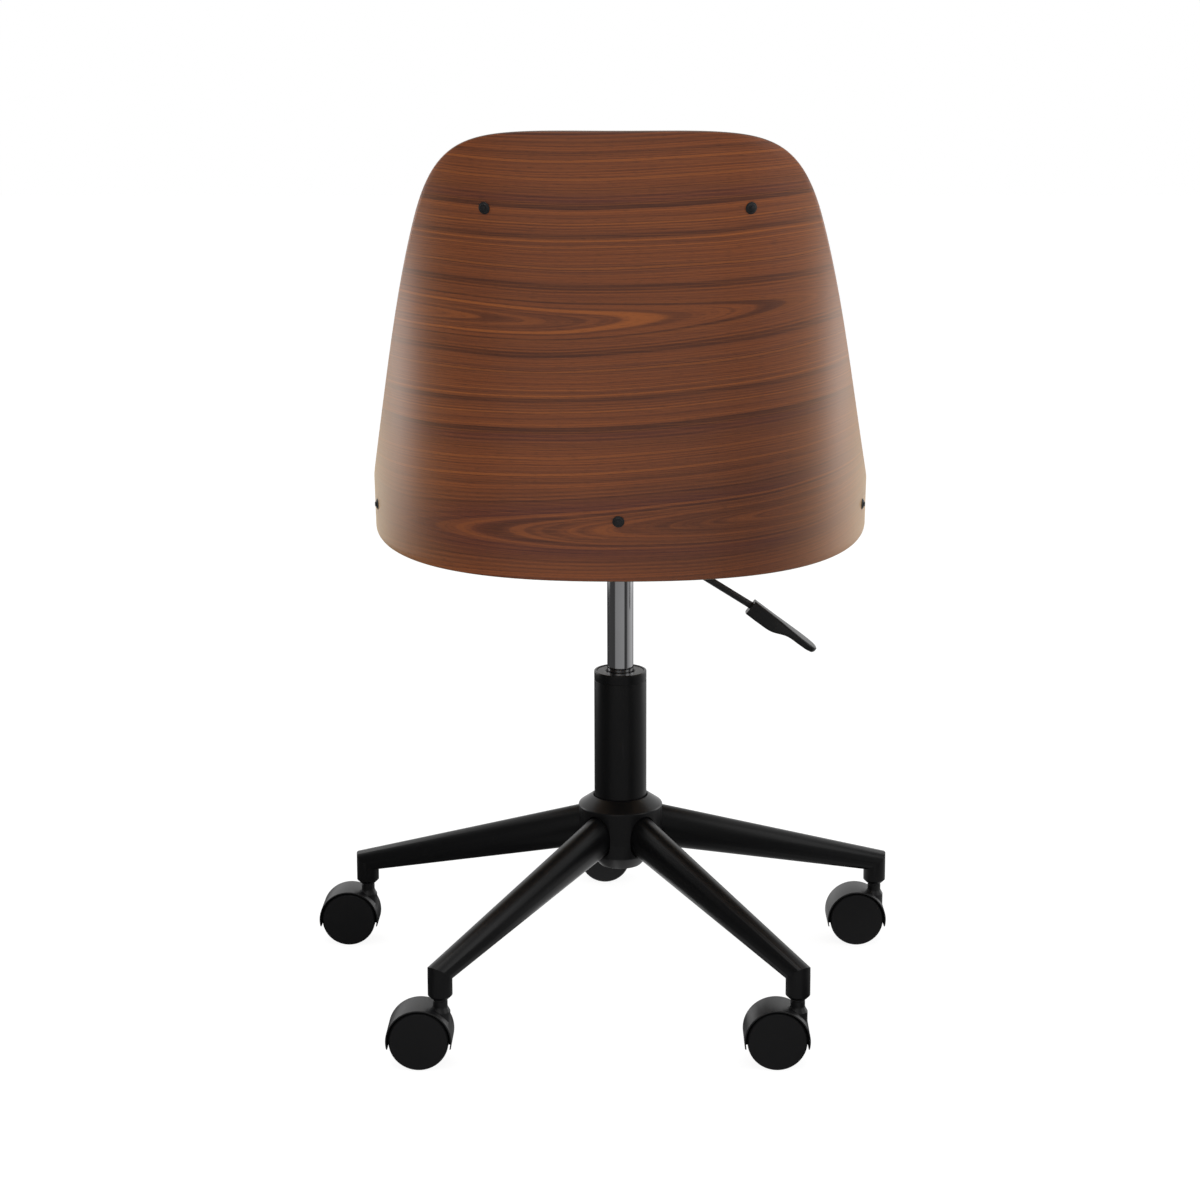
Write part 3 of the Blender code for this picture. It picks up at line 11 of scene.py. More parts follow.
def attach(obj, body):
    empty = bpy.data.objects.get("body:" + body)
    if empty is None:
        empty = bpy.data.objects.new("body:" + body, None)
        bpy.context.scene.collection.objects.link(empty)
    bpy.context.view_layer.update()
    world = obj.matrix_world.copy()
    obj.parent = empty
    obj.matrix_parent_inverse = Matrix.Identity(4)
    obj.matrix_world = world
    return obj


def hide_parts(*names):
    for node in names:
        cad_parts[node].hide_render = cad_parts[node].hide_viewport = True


# Office chair: a bent walnut shell with a padded seat and back, on a gas lift,
# a star base and hooded casters. Metres, +Z up, the chair faces -Y.

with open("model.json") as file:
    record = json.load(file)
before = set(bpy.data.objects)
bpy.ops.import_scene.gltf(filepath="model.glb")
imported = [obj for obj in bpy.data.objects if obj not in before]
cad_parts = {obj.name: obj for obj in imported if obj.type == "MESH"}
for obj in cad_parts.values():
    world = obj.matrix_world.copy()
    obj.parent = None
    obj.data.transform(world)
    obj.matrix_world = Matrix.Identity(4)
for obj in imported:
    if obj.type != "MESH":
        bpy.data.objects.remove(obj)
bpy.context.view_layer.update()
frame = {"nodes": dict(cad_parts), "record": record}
bpy.context.scene.view_settings.view_transform = "Standard"

axisX = -0.0189                      # the column stands off the middle
columnPlace = Vector((axisX, 0, 0))
quarter = math.radians(90)
fit = 0.0003                         # the clearance round a pin or a foot


# Modelling helpers

def onlyThis(piece):
    if bpy.context.object and bpy.context.object.mode != "OBJECT":
        bpy.ops.object.mode_set(mode="OBJECT")
    bpy.ops.object.select_all(action="DESELECT")
    piece.select_set(True)
    bpy.context.view_layer.objects.active = piece


def startEdit(piece):
    onlyThis(piece)
    bpy.ops.object.mode_set(mode="EDIT")
    bpy.ops.mesh.select_all(action="SELECT")


def endEdit():
    bpy.ops.object.mode_set(mode="OBJECT")


def added(name):
    piece = bpy.context.object
    piece.name = name
    piece.data.name = name
    return piece


def modify(piece, kind, **settings):
    onlyThis(piece)
    modifier = piece.modifiers.new(kind.title(), kind)
    for key, value in settings.items():
        setattr(modifier, key, value)
    bpy.ops.object.modifier_apply(modifier=modifier.name)


def drop(*pieces):
    for piece in pieces:
        bpy.data.objects.remove(piece, do_unlink=True)


def cut(piece, tool, operation="DIFFERENCE"):
    modify(piece, "BOOLEAN", object=tool, operation=operation, solver="EXACT")
    drop(tool)


def softenEdges(piece, width, segments=3, angle=40):
    modify(piece, "BEVEL", width=width, segments=segments, limit_method="ANGLE",
           angle_limit=math.radians(angle))


def smooth(piece, angle=35):
    onlyThis(piece)
    bpy.ops.object.shade_smooth_by_angle(angle=math.radians(angle))


def cleaned(piece):
    startEdit(piece)
    bpy.ops.mesh.remove_doubles(threshold=1e-6)
    bpy.ops.mesh.normals_make_consistent(inside=False)
    endEdit()
    return piece


def traced(name, corners, y=0.0):
    # a line through (x, z) corners, extruded from a point and left in edit mode
    bpy.ops.mesh.primitive_plane_add(size=0.001, location=(corners[0][0], y, corners[0][1]))
    piece = added(name)
    onlyThis(piece)
    bpy.ops.object.transform_apply(location=True)
    startEdit(piece)
    bpy.ops.mesh.merge(type="CENTER")
    for (x, z), (nextX, nextZ) in zip(corners, corners[1:]):
        bpy.ops.mesh.extrude_region_move(TRANSFORM_OT_translate={"value": (nextX - x, 0, nextZ - z)})
    bpy.ops.mesh.select_all(action="SELECT")
    return piece


def lathe(name, profile, steps=96):
    # an outline of (radius, height) corners, spun about Z
    piece = traced(name, profile)
    bpy.ops.mesh.spin(steps=steps, angle=math.tau, center=(0, 0, 0), axis=(0, 0, 1))
    endEdit()
    return cleaned(piece)


def rod(name, radius, start, end, sides=64):
    # a plain bar between two points, used as a blank or a cutter
    start, end = Vector(start), Vector(end)
    run = end - start
    bpy.ops.mesh.primitive_cylinder_add(vertices=sides, radius=radius, depth=run.length)
    piece = added(name)
    piece.data.transform(run.to_track_quat("Z", "Y").to_matrix().to_4x4())
    piece.data.transform(Matrix.Translation((start + end) / 2))
    return piece


def copied(piece, name, place=None):
    # a copy with its own mesh and without the marks of its source
    twin = piece.copy()
    twin.data = piece.data.copy()
    twin.name = name
    twin.data.name = name
    bpy.context.scene.collection.objects.link(twin)
    for key in list(twin.keys()):
        del twin[key]
    if place:
        twin.data.transform(place)
    return twin


def painted(piece, slotName):
    piece.data.materials.clear()
    piece.data.materials.append(finishes[slotName])


def dressed(piece, body, slotName, *nodes):
    painted(piece, slotName)
    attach(piece, body)
    if nodes:
        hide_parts(*nodes)
    return piece


# Shader helpers

class Link:
    def __init__(self, paint, socket):
        self.paint = paint
        self.socket = socket

    def __add__(self, other):
        return self.paint.maths("ADD", self, other)

    def __sub__(self, other):
        return self.paint.maths("SUBTRACT", self, other)

    def __rsub__(self, other):
        return self.paint.maths("SUBTRACT", other, self)

    def __mul__(self, other):
        return self.paint.maths("MULTIPLY", self, other)

    def __truediv__(self, other):
        return self.paint.maths("DIVIDE", self, other)

    def __pow__(self, other):
        return self.paint.maths("POWER", self, other)

    __radd__ = __add__
    __rmul__ = __mul__


class Paint:
    def __init__(self, name, **constants):
        self.material = bpy.data.materials.new(name)
        self.material.use_nodes = True
        self.tree = self.material.node_tree
        self.shader = self.tree.nodes["Principled BSDF"]
        self.feed(self.shader, constants)

    def feed(self, made, inputs):
        for key, value in inputs.items():
            if isinstance(value, Link):
                self.tree.links.new(value.socket, made.inputs[key])
            else:
                made.inputs[key].default_value = value

    def node(self, kind, settings, inputs, output=0):
        made = self.tree.nodes.new(kind)
        for key, value in settings.items():
            if key != "stops":
                setattr(made, key, value)
                continue
            points = made.color_ramp.elements
            while len(points) < len(value):
                points.new(1.0)
            for point, (position, colour) in zip(points, value):
                point.position = position
                point.color = colour
        self.feed(made, inputs)
        return Link(self, made.outputs[output])

    def place(self):
        return self.node("ShaderNodeTexCoord", {}, {}, "Object")

    def part(self, vector, index):
        return self.node("ShaderNodeSeparateXYZ", {}, {"Vector": vector}, index)

    def maths(self, operation, first, second=0.0):
        return self.node("ShaderNodeMath", {"operation": operation}, {0: first, 1: second})

    def mapped(self, vector, scale):
        return self.node("ShaderNodeMapping", {}, {"Vector": vector, "Scale": scale})

    def noise(self, vector, scale, detail=4.0, roughness=0.5):
        return self.node("ShaderNodeTexNoise", {}, {"Vector": vector, "Scale": scale, "Detail": detail,
                                                    "Roughness": roughness})

    def lines(self, value, scale, detail=2.0, roughness=0.5):
        # noise along one number, for stripes
        return self.node("ShaderNodeTexNoise", {"noise_dimensions": "1D"},
                         {"W": value, "Scale": scale, "Detail": detail, "Roughness": roughness})

    def ranged(self, value, low, high, toLow=0.0, toHigh=1.0):
        return self.node("ShaderNodeMapRange", {"interpolation_type": "SMOOTHSTEP"},
                         {"Value": value, "From Min": low, "From Max": high, "To Min": toLow,
                          "To Max": toHigh})

    def mix(self, share, first, second, blend="MIX"):
        return self.node("ShaderNodeMix", {"data_type": "RGBA", "blend_type": blend},
                         {0: share, 6: first, 7: second}, 2)

    def ramp(self, value, *stops):
        return self.node("ShaderNodeValToRGB", {"stops": stops}, {"Fac": value})

    def bumped(self, height, strength, distance):
        self.feed(self.shader, {"Normal": self.node("ShaderNodeBump", {}, {
            "Height": height, "Strength": strength, "Distance": distance})})


class Sky(Paint):
    # the same helpers for the world's nodes
    def __init__(self, name):
        world = bpy.data.worlds.new(name)
        world.use_nodes = True
        bpy.context.scene.world = world
        self.tree = world.node_tree
        self.tree.nodes.clear()


def colour(red, green, blue):
    # a display colour of 0 to 255 as the linear colour that a shader takes
    def linear(part):
        part = part / 255
        return part / 12.92 if part <= 0.04045 else ((part + 0.055) / 1.055) ** 2.4
    return (linear(red), linear(green), linear(blue), 1.0)


print("frame loaded:", len(frame["nodes"]), "nodes")


# Finishes

def walnutVeneer():
    paint = Paint("walnut_veneer", **{
        "Specular IOR Level": 0.45, "Coat Weight": 0.25, "Coat Roughness": 0.28,
        "Sheen Weight": 0.50, "Sheen Roughness": 0.28, "Sheen Tint": (1.0, 0.78, 0.42, 1)})
    sheet = paint.node("ShaderNodeUVMap", {"uv_map": "sheet"}, {})
    across = paint.part(sheet, 0)
    tall = paint.part(sheet, 1)
    drift = paint.noise(paint.mapped(sheet, (2.4, 7.0, 1.0)), 1.0, 2.0)
    ripple = paint.noise(paint.mapped(sheet, (9.0, 70.0, 1.0)), 1.0, 3.0)
    # the growth lines climb toward one side and sag a little toward the other
    climb = paint.ranged(across, 0.08, -0.40) * walnut["climb"]
    climb = climb + paint.ranged(across, 0.02, 0.36) * (tall * 0.09 - 0.016)
    height = tall - climb + (drift - 0.5) * walnut["drift"] + (ripple - 0.5) * walnut["ripple"]
    # two long arches, the upper one open to one side and the lower one to the other
    fields = []
    for middle, depth, outer, tip in walnut["arches"]:
        off = height - middle
        narrow = paint.ranged(across, outer, tip) * depth
        fields.append((off * off + narrow * narrow) ** 0.5)
    apart = walnut["arches"][0][0] - walnut["arches"][1][0]
    below = paint.ranged(height, 0.170, 0.110)
    growth = fields[0] + (apart - fields[1] - fields[0]) * below
    broad = paint.lines(growth, walnut["broad"], 1.0)
    middling = paint.lines(growth + 3.1, walnut["middling"], 2.0, 0.6)
    streak = paint.lines(growth + 5.3, walnut["streak"], 2.0, 0.6)
    fine = paint.lines(growth + 7.7, walnut["fine"], 3.0, 0.6)
    fibre = paint.noise(paint.mapped(sheet, walnut["fibre"]), 1.0, 3.0, 0.6)
    calm = paint.ranged(tall, 0.045, 0.095, 0.40, 1.0)
    # the sides turn golden: partly the wood's own tone and partly a painted highlight where the light grazes
    # them
    sidesGoldAndHighlight = paint.ranged(paint.maths("ABSOLUTE", across), 0.13, 0.31)
    pore = paint.noise(paint.mapped(sheet, walnut["poreGrain"]), 1.0, 1.0)
    wood = paint.ramp(broad, (0.30, walnut["plum"]), (0.42, walnut["brown"]), (0.54, walnut["red"]),
                      (0.66, walnut["brown"]), (0.78, walnut["plum"]))
    wood = paint.mix(paint.ranged(middling, 0.54, 0.66) * calm * 0.70, wood, walnut["dark"])
    wood = paint.mix(paint.ranged(streak, 0.58, 0.68) * calm * 0.70, wood, walnut["orange"])
    wood = paint.mix(paint.ranged(fine, 0.44, 0.64) * 0.42, wood, walnut["dark"])
    wood = paint.mix(paint.ranged(fine, 0.50, 0.34) * 0.30, wood, walnut["orange"])
    wood = paint.mix(paint.ranged(fibre, 0.42, 0.70) * 0.30, wood, walnut["orange"])
    wood = paint.mix(paint.ranged(pore, 0.60, 0.70) * 0.40, wood, walnut["pore"])
    # painted shade: a broad darker patch low on one side of the shell, where the light falls off across the
    # curve
    paintedShade = paint.ranged(across, 0.06, -0.14) * paint.ranged(across, -0.32, -0.16)
    paintedShade = paintedShade * paint.ranged(tall, 0.30, 0.06)
    wood = paint.mix(paintedShade * 0.42, wood, walnut["paintedShade"])
    # golden sides: partly real colour, partly painted highlight
    wood = paint.mix(sidesGoldAndHighlight * 0.52, wood, walnut["goldAndHighlight"])
    depth = paint.node("ShaderNodeAttribute", {"attribute_name": "depth"}, {}, 2)
    ply = paint.ranged(paint.maths("PINGPONG", depth * walnut["plies"], 1.0), 0.35, 0.65)
    plies = paint.mix(ply, walnut["lightPly"], walnut["darkPly"])
    edge = paint.ranged(depth, 0.03, 0.07) * paint.ranged(depth, 0.97, 0.93)
    paint.feed(paint.shader, {"Base Color": paint.mix(edge, wood, plies),
                              "Roughness": 0.36 + fibre * 0.12 + pore * 0.06})
    paint.bumped(fibre * 0.5 + middling * 0.3 - paint.ranged(pore, 0.58, 0.72), 0.12, 0.00012)
    return paint.material


walnut = {
    "plum": colour(102, 50, 36), "brown": colour(122, 64, 32), "red": colour(136, 70, 30),
    "dark": colour(72, 36, 24), "orange": colour(170, 92, 32), "pore": colour(46, 24, 16),
    # the first colour on the next line is painted shade; the second is the sides' golden tone, partly a
    # painted highlight
    "paintedShade": colour(62, 33, 22), "goldAndHighlight": colour(172, 118, 54),
    "lightPly": colour(96, 62, 40), "darkPly": colour(62, 38, 25), "plies": 9.0,
    # how far the growth lines wander, and how many of each kind pass in a metre
    "drift": 0.012, "ripple": 0.0016, "climb": 0.024,
    "broad": 34.0, "middling": 120.0, "streak": 190.0, "fine": 620.0,
    "fibre": (8.0, 1100.0, 1.0), "poreGrain": (90.0, 2400.0, 1.0),
    # each arch: its middle height, the reach of its tips, and the ends where it is open and shut
    "arches": ((0.234, 0.0200, 0.30, -0.26), (0.046, 0.0240, -0.26, 0.26)),
}


def boardWood():
    paint = Paint("board_wood", **{"Specular IOR Level": 0.3})
    place = paint.place()
    grain = paint.noise(paint.mapped(place, (9.0, 160.0, 40.0)), 1.0, 4.0, 0.6)
    ring = paint.lines(paint.part(place, 1) + grain * 0.03, 90.0)
    ply = paint.lines(paint.part(place, 2), 700.0, 0.0)
    wood = paint.mix(grain, colour(186, 150, 108), colour(206, 174, 134))
    wood = paint.mix(paint.ranged(ring, 0.50, 0.66) * 0.45, wood, colour(160, 120, 82))
    wood = paint.mix(paint.ranged(ply, 0.55, 0.62) * 0.25, wood, colour(138, 104, 72))
    paint.feed(paint.shader, {"Base Color": wood, "Roughness": 0.62 + grain * 0.15})
    paint.bumped(grain, 0.15, 0.0002)
    return paint.material


def satinBlack(name, dark, light, roughness, level, grainScale, grainDepth):
    # moulded plastic or paint: an even black with a fine skin and slight wear
    paint = Paint(name, **{"Specular IOR Level": level})
    place = paint.place()
    cloud = paint.noise(place, 14.0, 3.0)
    skin = paint.noise(place, grainScale, 3.0, 0.6)
    scuff = paint.noise(paint.mapped(place, (300.0, 300.0, 22.0)), 1.0, 2.0)
    tone = paint.mix(cloud, dark, light)
    tone = paint.mix(paint.ranged(scuff, 0.66, 0.80) * 0.25, tone, colour(46, 46, 48))
    paint.feed(paint.shader, {"Base Color": tone,
                              "Roughness": roughness - 0.04 + cloud * 0.06 + skin * 0.05})
    paint.bumped(skin, 0.35, grainDepth)
    return paint.material


def brightSteel():
    paint = Paint("polished_steel", **{"Metallic": 1.0, "Specular Tint": (0.25, 0.25, 0.26, 1)})
    place = paint.place()
    drawn = paint.noise(paint.mapped(place, (60.0, 60.0, 1800.0)), 1.0, 2.0)
    cloud = paint.noise(place, 30.0, 2.0)
    paint.feed(paint.shader, {"Base Color": paint.mix(cloud, colour(222, 222, 224), colour(234, 234, 236)),
                              "Roughness": 0.07 + drawn * 0.03 + cloud * 0.02})
    paint.bumped(drawn, 0.06, 0.00002)
    return paint.material


def darkSteel():
    paint = Paint("black_steel", **{"Specular IOR Level": 0.35})
    place = paint.place()
    cloud = paint.noise(place, 60.0, 3.0)
    skin = paint.noise(place, 1500.0, 2.0)
    paint.feed(paint.shader, {"Base Color": paint.mix(cloud, colour(30, 30, 31), colour(44, 44, 45)),
                              "Metallic": paint.ranged(cloud, 0.2, 0.9) * 0.35,
                              "Roughness": 0.36 + skin * 0.12})
    paint.bumped(skin, 0.2, 0.00003)
    return paint.material


def coverLeather():
    # smooth black upholstery with a fine pebbled grain and softly worn crowns
    paint = Paint("black_cover", **{"Specular IOR Level": 0.42, "Sheen Weight": 0.05,
                                    "Sheen Roughness": 0.4})
    place = paint.place()
    pebble = paint.node("ShaderNodeTexVoronoi", {"feature": "DISTANCE_TO_EDGE"},
                        {"Vector": place, "Scale": 780.0, "Randomness": 1.0})
    crease = paint.noise(place, 240.0, 4.0, 0.6)
    cloud = paint.noise(place, 9.0, 3.0)
    valley = paint.ranged(pebble, 0.0, 0.16)
    tone = paint.mix(cloud, colour(25, 25, 26), colour(33, 33, 34))
    # painted shade: the valleys of the pebble grain are darkened in the colour
    tone = paint.mix(valley, colour(16, 16, 17), tone)
    paint.feed(paint.shader, {"Base Color": tone, "Roughness": 0.50 - valley * 0.10 + cloud * 0.06})
    paint.bumped(valley * 0.7 + crease * 0.5, 0.35, 0.00018)
    return paint.material


finishes = {
    "walnut_veneer": walnutVeneer(),
    "board_wood": boardWood(),
    "black_paint": satinBlack("black_paint", colour(13, 13, 14), colour(18, 18, 19), 0.30, 0.28,
                              900.0, 0.00003),
    "black_plastic": satinBlack("black_plastic", colour(15, 15, 16), colour(21, 21, 22), 0.36, 0.40,
                                1400.0, 0.00004),
    "wheel_plastic": satinBlack("wheel_plastic", colour(19, 19, 20), colour(25, 25, 26), 0.52, 0.20,
                                1100.0, 0.00005),
    "polished_steel": brightSteel(),
    "black_steel": darkSteel(),
    "black_cover": coverLeather(),
}

for subpart in frame["record"]["subparts"]:
    painted(frame["nodes"][subpart["node"]], subpart["material_slot"])

print("finishes made:", len(finishes))


# Bent shell

shell = {
    "rimHeight": 0.4467, "thickness": 0.0110, "edgeRound": 0.0022, "recline": 10.0,
    "plan": ((0, 0.2231), (0.0951, 0.2231), (0.2462, 0.1980), (0.2462, -0.1400)),
    "topHeight": 0.3932, "topHandle": 0.1150,
    "shoulder": (0.1991, 0.3184), "shoulderSlope": 63.2, "shoulderUp": 0.0907, "shoulderDown": 0.1550,
    "wing": (0.4570, 0.0460), "wingHandle": 0.1520, "noseAngle": 84.0,
    "columns": 120, "noseColumns": 12,
}
lean = math.tan(math.radians(shell["recline"]))


def curve(points, count):
    return [tuple(point) for point in interpolate_bezier(*[Vector(point) for point in points], count)]


def edgeLine():
    slope = math.radians(shell["shoulderSlope"])
    down = Vector((math.cos(slope), -math.sin(slope)))
    shoulder = Vector(shell["shoulder"])
    top = Vector((0, shell["topHeight"]))
    wing = Vector(shell["wing"])
    upper = curve((top, top + Vector((shell["topHandle"], 0)), shoulder - down * shell["shoulderUp"],
                   shoulder), 80)
    lower = curve((shoulder, shoulder + down * shell["shoulderDown"],
                   wing - Vector((shell["wingHandle"], 0)), wing), 120)
    return np.array(upper + lower[1:])


planPoints = np.array(curve(shell["plan"], 600))
planSteps = np.hypot(*np.diff(planPoints, axis=0).T)
planLength = np.concatenate(([0.0], np.cumsum(planSteps)))
planTangents = np.gradient(planPoints, axis=0)
planTangents[0] = (1.0, 0.0)
planTangents /= np.linalg.norm(planTangents, axis=1)[:, None]
edgePoints = edgeLine()


def planAt(along, inward):
    distance = abs(along)
    x, y = (np.interp(distance, planLength, planPoints[:, part]) for part in (0, 1))
    tangentX, tangentY = (np.interp(distance, planLength, planTangents[:, part]) for part in (0, 1))
    length = math.hypot(tangentX, tangentY)
    x += tangentY / length * inward
    y -= tangentX / length * inward
    return math.copysign(x, along), y


def sheetPoint(along, inward, height):
    x, y = planAt(along, inward)
    return (axisX + x, y + height * lean, shell["rimHeight"] + height)


def edgeHeight(along):
    return float(np.interp(abs(along), edgePoints[:, 0], edgePoints[:, 1]))


def bothSides(half):
    return [(-along, low, high) for along, low, high in reversed(half[1:])] + half


def shellColumns():
    # each column of the sheet, as its place along the rim and its lower and upper end
    wingAlong, wingHeight = shell["wing"]
    half = []
    for step in range(shell["columns"] + 1):
        along = wingAlong * step / shell["columns"]
        half.append((along, 0.0, edgeHeight(along)))
    for step in range(1, shell["noseColumns"] + 1):
        angle = math.radians(shell["noseAngle"]) * step / shell["noseColumns"]
        low = wingHeight / 2 * (1 - math.cos(angle))
        half.append((wingAlong + wingHeight / 2 * math.sin(angle), low, wingHeight - low))
    return bothSides(half)


def sectionPoints(low, high, outer, thickness, edgeRound, rows=48, roundSteps=4):
    # once round the section of a bent board, as (inward, height)
    radius = min(edgeRound, (high - low) * 0.45)
    inner = outer + thickness
    run = high - low - 2 * radius
    points = [(outer, low + radius + run * step / rows) for step in range(rows)]
    corners = ((outer + radius, high - radius, 180), (inner - radius, high - radius, 90),
               (inner - radius, low + radius, 0), (outer + radius, low + radius, -90))
    for index, (inward, height, start) in enumerate(corners):
        for step in range(roundSteps + 1):
            turn = math.radians(start - 90 * step / roundSteps)
            points.append((inward + radius * math.cos(turn), height + radius * math.sin(turn)))
        if index == 1:
            points += [(inner, height - run * step / rows) for step in range(1, rows)]
    return points


def wrapped(name, rings):
    # a grid laid over equal closed rings
    around = len(rings[0])
    bpy.ops.mesh.primitive_grid_add(x_subdivisions=len(rings) - 1, y_subdivisions=around, size=1)
    piece = added(name)
    places = np.array([ring + ring[:1] for ring in rings]).transpose(1, 0, 2)
    piece.data.vertices.foreach_set("co", places.ravel())
    return piece


def closedUp(piece):
    # the seam is merged and the open ends are filled
    startEdit(piece)
    bpy.ops.mesh.remove_doubles(threshold=1e-6)
    bpy.ops.mesh.select_all(action="DESELECT")
    bpy.ops.mesh.select_mode(type="EDGE")
    bpy.ops.mesh.select_non_manifold()
    bpy.ops.mesh.fill_holes(sides=0)
    bpy.ops.mesh.select_mode(type="VERT")
    bpy.ops.mesh.select_all(action="SELECT")
    bpy.ops.mesh.normals_make_consistent(inside=False)
    endEdit()
    return piece


def bentBoard(name, columns, outer, thickness, edgeRound, rows=48, roundSteps=4):
    # carries its own measures: distance along the rim, height, and depth into the board
    sections = [sectionPoints(low, high, outer, thickness, edgeRound, rows, roundSteps)
                for along, low, high in columns]
    board = wrapped(name, [[sheetPoint(column[0], inward, height) for inward, height in section]
                           for column, section in zip(columns, sections)])
    mesh = board.data
    closed = np.array([section + section[:1] for section in sections]).transpose(1, 0, 2).reshape(-1, 2)
    depths = (closed[:, 0] - outer) / thickness
    mesh.attributes.new("depth", "FLOAT", "POINT").data.foreach_set("value", depths)
    alongs = np.tile([column[0] for column in columns], len(sections[0]) + 1)
    corners = np.empty(len(mesh.loops), int)
    mesh.loops.foreach_get("vertex_index", corners)
    layer = mesh.uv_layers[0]
    layer.name = "sheet"
    layer.uv.foreach_set("vector", np.stack((alongs, closed[:, 1]), 1)[corners].ravel())
    return closedUp(board)


def screwPlace(along, height):
    # the outer face's place under a screw, its Z axis pointing out of the face
    here = Vector(sheetPoint(along, 0.0, height))
    tangent = Vector(sheetPoint(along + 0.001, 0.0, height)) - Vector(sheetPoint(along - 0.001, 0.0, height))
    outward = tangent.cross(Vector((0, lean, 1))).normalized()
    if outward.dot(Vector(sheetPoint(along, 0.01, height)) - here) > 0:
        outward.negate()
    return Matrix.Translation(here) @ outward.to_track_quat("Z", "Y").to_matrix().to_4x4()


screw = {
    "places": ((0.1148, 0.3285), (-0.1148, 0.3285), (0.0, 0.0560), (0.3425, 0.0330), (-0.3425, 0.0330)),
    "shank": 0.0030, "length": 0.0175, "head": 0.00525, "under": 0.0003, "rim": 0.0009, "top": 0.0018,
    "crown": 0.0036, "socket": 0.0023, "socketDepth": 0.0019,
}


def drilled(piece, places):
    for along, height in places:
        frameHere = screwPlace(along, height)
        tool = rod("drill", screw["shank"] + fit, frameHere @ Vector((0, 0, 0.004)),
                   frameHere @ Vector((0, 0, -screw["length"] - 0.001)), 32)
        cut(piece, tool)
    return piece


backShell = drilled(bentBoard("walnut_shell", shellColumns(), 0.0, shell["thickness"], shell["edgeRound"]),
                    screw["places"])
smooth(backShell, 40)
dressed(backShell, "seat", "walnut_veneer", "back_shell")
print("shell done:", len(backShell.data.polygons), "faces")


# Screws

def filleted(corners, steps=6):
    # an outline from (radius, height, fillet) corners, its ends left sharp
    points = [Vector(corners[0][:2])]
    for before, (x, y, radius), after in zip(corners, corners[1:], corners[2:]):
        here = Vector((x, y))
        back = (Vector(before[:2]) - here).normalized()
        onward = (Vector(after[:2]) - here).normalized()
        if radius <= 0.0:
            points.append(here)
            continue
        opening = back.angle(onward)
        reach = radius / math.tan(opening / 2)
        handle = reach - radius * 4 / 3 * math.tan((math.pi - opening) / 4)
        points += interpolate_bezier(here + back * reach, here + back * handle, here + onward * handle,
                                     here + onward * reach, steps + 1)
    points.append(Vector(corners[-1][:2]))
    return [tuple(point) for point in points]


def buildScrew():
    low, rim, top = screw["under"], screw["rim"], screw["top"]
    head = lathe("shell_screw_cap", filleted((
        (0, -screw["length"], 0), (screw["shank"], -screw["length"], 0.0006), (screw["shank"], low, 0),
        (screw["head"], low, 0.0002), (screw["head"], rim, 0.0006),
        (screw["crown"] + 0.0004, rim + 0.0002, 0.0003), (screw["crown"], top, 0.0007), (0, top, 0))), 64)
    tool = rod("socket", screw["socket"], (0, 0, top - screw["socketDepth"]), (0, 0, top + 0.001), 6)
    cut(head, tool)
    softenEdges(head, 0.00012, 2, 50)
    smooth(head, 40)
    return head


screwBlank = buildScrew()
for number, (along, height) in enumerate(screw["places"], 1):
    piece = copied(screwBlank, f"shell_screw_cap_{number}", screwPlace(along, height))
    dressed(piece, "seat", "black_steel", f"shell_screw_{number}")
drop(screwBlank)
print("screws done")


# Casters

caster = {
    "trail": 0.0189, "wheelRadius": 0.0271, "wheelInner": 0.0070, "wheelOuter": 0.0172, "coreHalf": 0.0067,
    "hoodRadius": 0.02993, "hoodWall": 0.0012, "hoodHalf": 0.0178, "hoodRound": 0.0008, "hoodDrop": 0.0066,
    "neck": 0.0066, "neckFlare": 0.0090, "neckFlareTop": 0.0045, "neckFillet": 0.0040, "neckTop": 0.0607,
    "axle": 0.0030, "axleHalf": 0.0115, "stem": 0.0055, "stemFoot": 0.0040, "stemBottom": 0.0422,
    "collar": 0.0064, "collarBottom": 0.0610, "collarTop": 0.0624, "stemTop": 0.0894,
    "reach": 0.2750, "firstAngle": -90.0, "count": 5,
}


def buildHood():
    axle = Vector((0, 0, caster["wheelRadius"]))
    side = Vector((0, 1, 0))
    hood = rod("caster_hood", caster["hoodRadius"], axle - side * caster["hoodHalf"],
               axle + side * caster["hoodHalf"], 144)
    softenEdges(hood, caster["hoodRound"], 5, 60)
    startEdit(hood)
    bpy.ops.mesh.bisect(plane_co=axle - Vector((0, 0, caster["hoodDrop"])), plane_no=(0, 0, -1),
                        clear_outer=True, use_fill=True)
    endEdit()
    atNeck = caster["wheelRadius"] + math.sqrt(caster["hoodRadius"] ** 2 - caster["trail"] ** 2)
    neck = lathe("neck", filleted((
        (0, axle.z, 0), (caster["neckFlare"], axle.z, 0), (caster["neckFlare"], atNeck, 0.0008),
        (caster["neck"], atNeck + caster["neckFlareTop"], caster["neckFillet"]),
        (caster["neck"], caster["neckTop"], 0.0005), (0, caster["neckTop"], 0)), 10), 96)
    neck.data.transform(Matrix.Translation((-caster["trail"], 0, 0)))
    cut(hood, neck, "UNION")
    for way in (1, -1):
        cut(hood, rod("wheel_space", caster["hoodRadius"] - caster["hoodWall"],
                      axle + side * way * caster["coreHalf"], axle + side * way * 0.03, 144))
    cut(hood, rod("axle_bore", caster["axle"] + fit, axle - side * 0.02, axle + side * 0.02, 32))
    cut(hood, rod("stem_bore", caster["stemFoot"] + 0.00035,
                  (-caster["trail"], 0, caster["stemBottom"] - fit), (-caster["trail"], 0, 0.08), 32))
    softenEdges(hood, 0.00025, 2, 50)
    smooth(hood, 40)
    hood.data.transform(Matrix.Translation((caster["trail"], 0, 0)))
    return hood


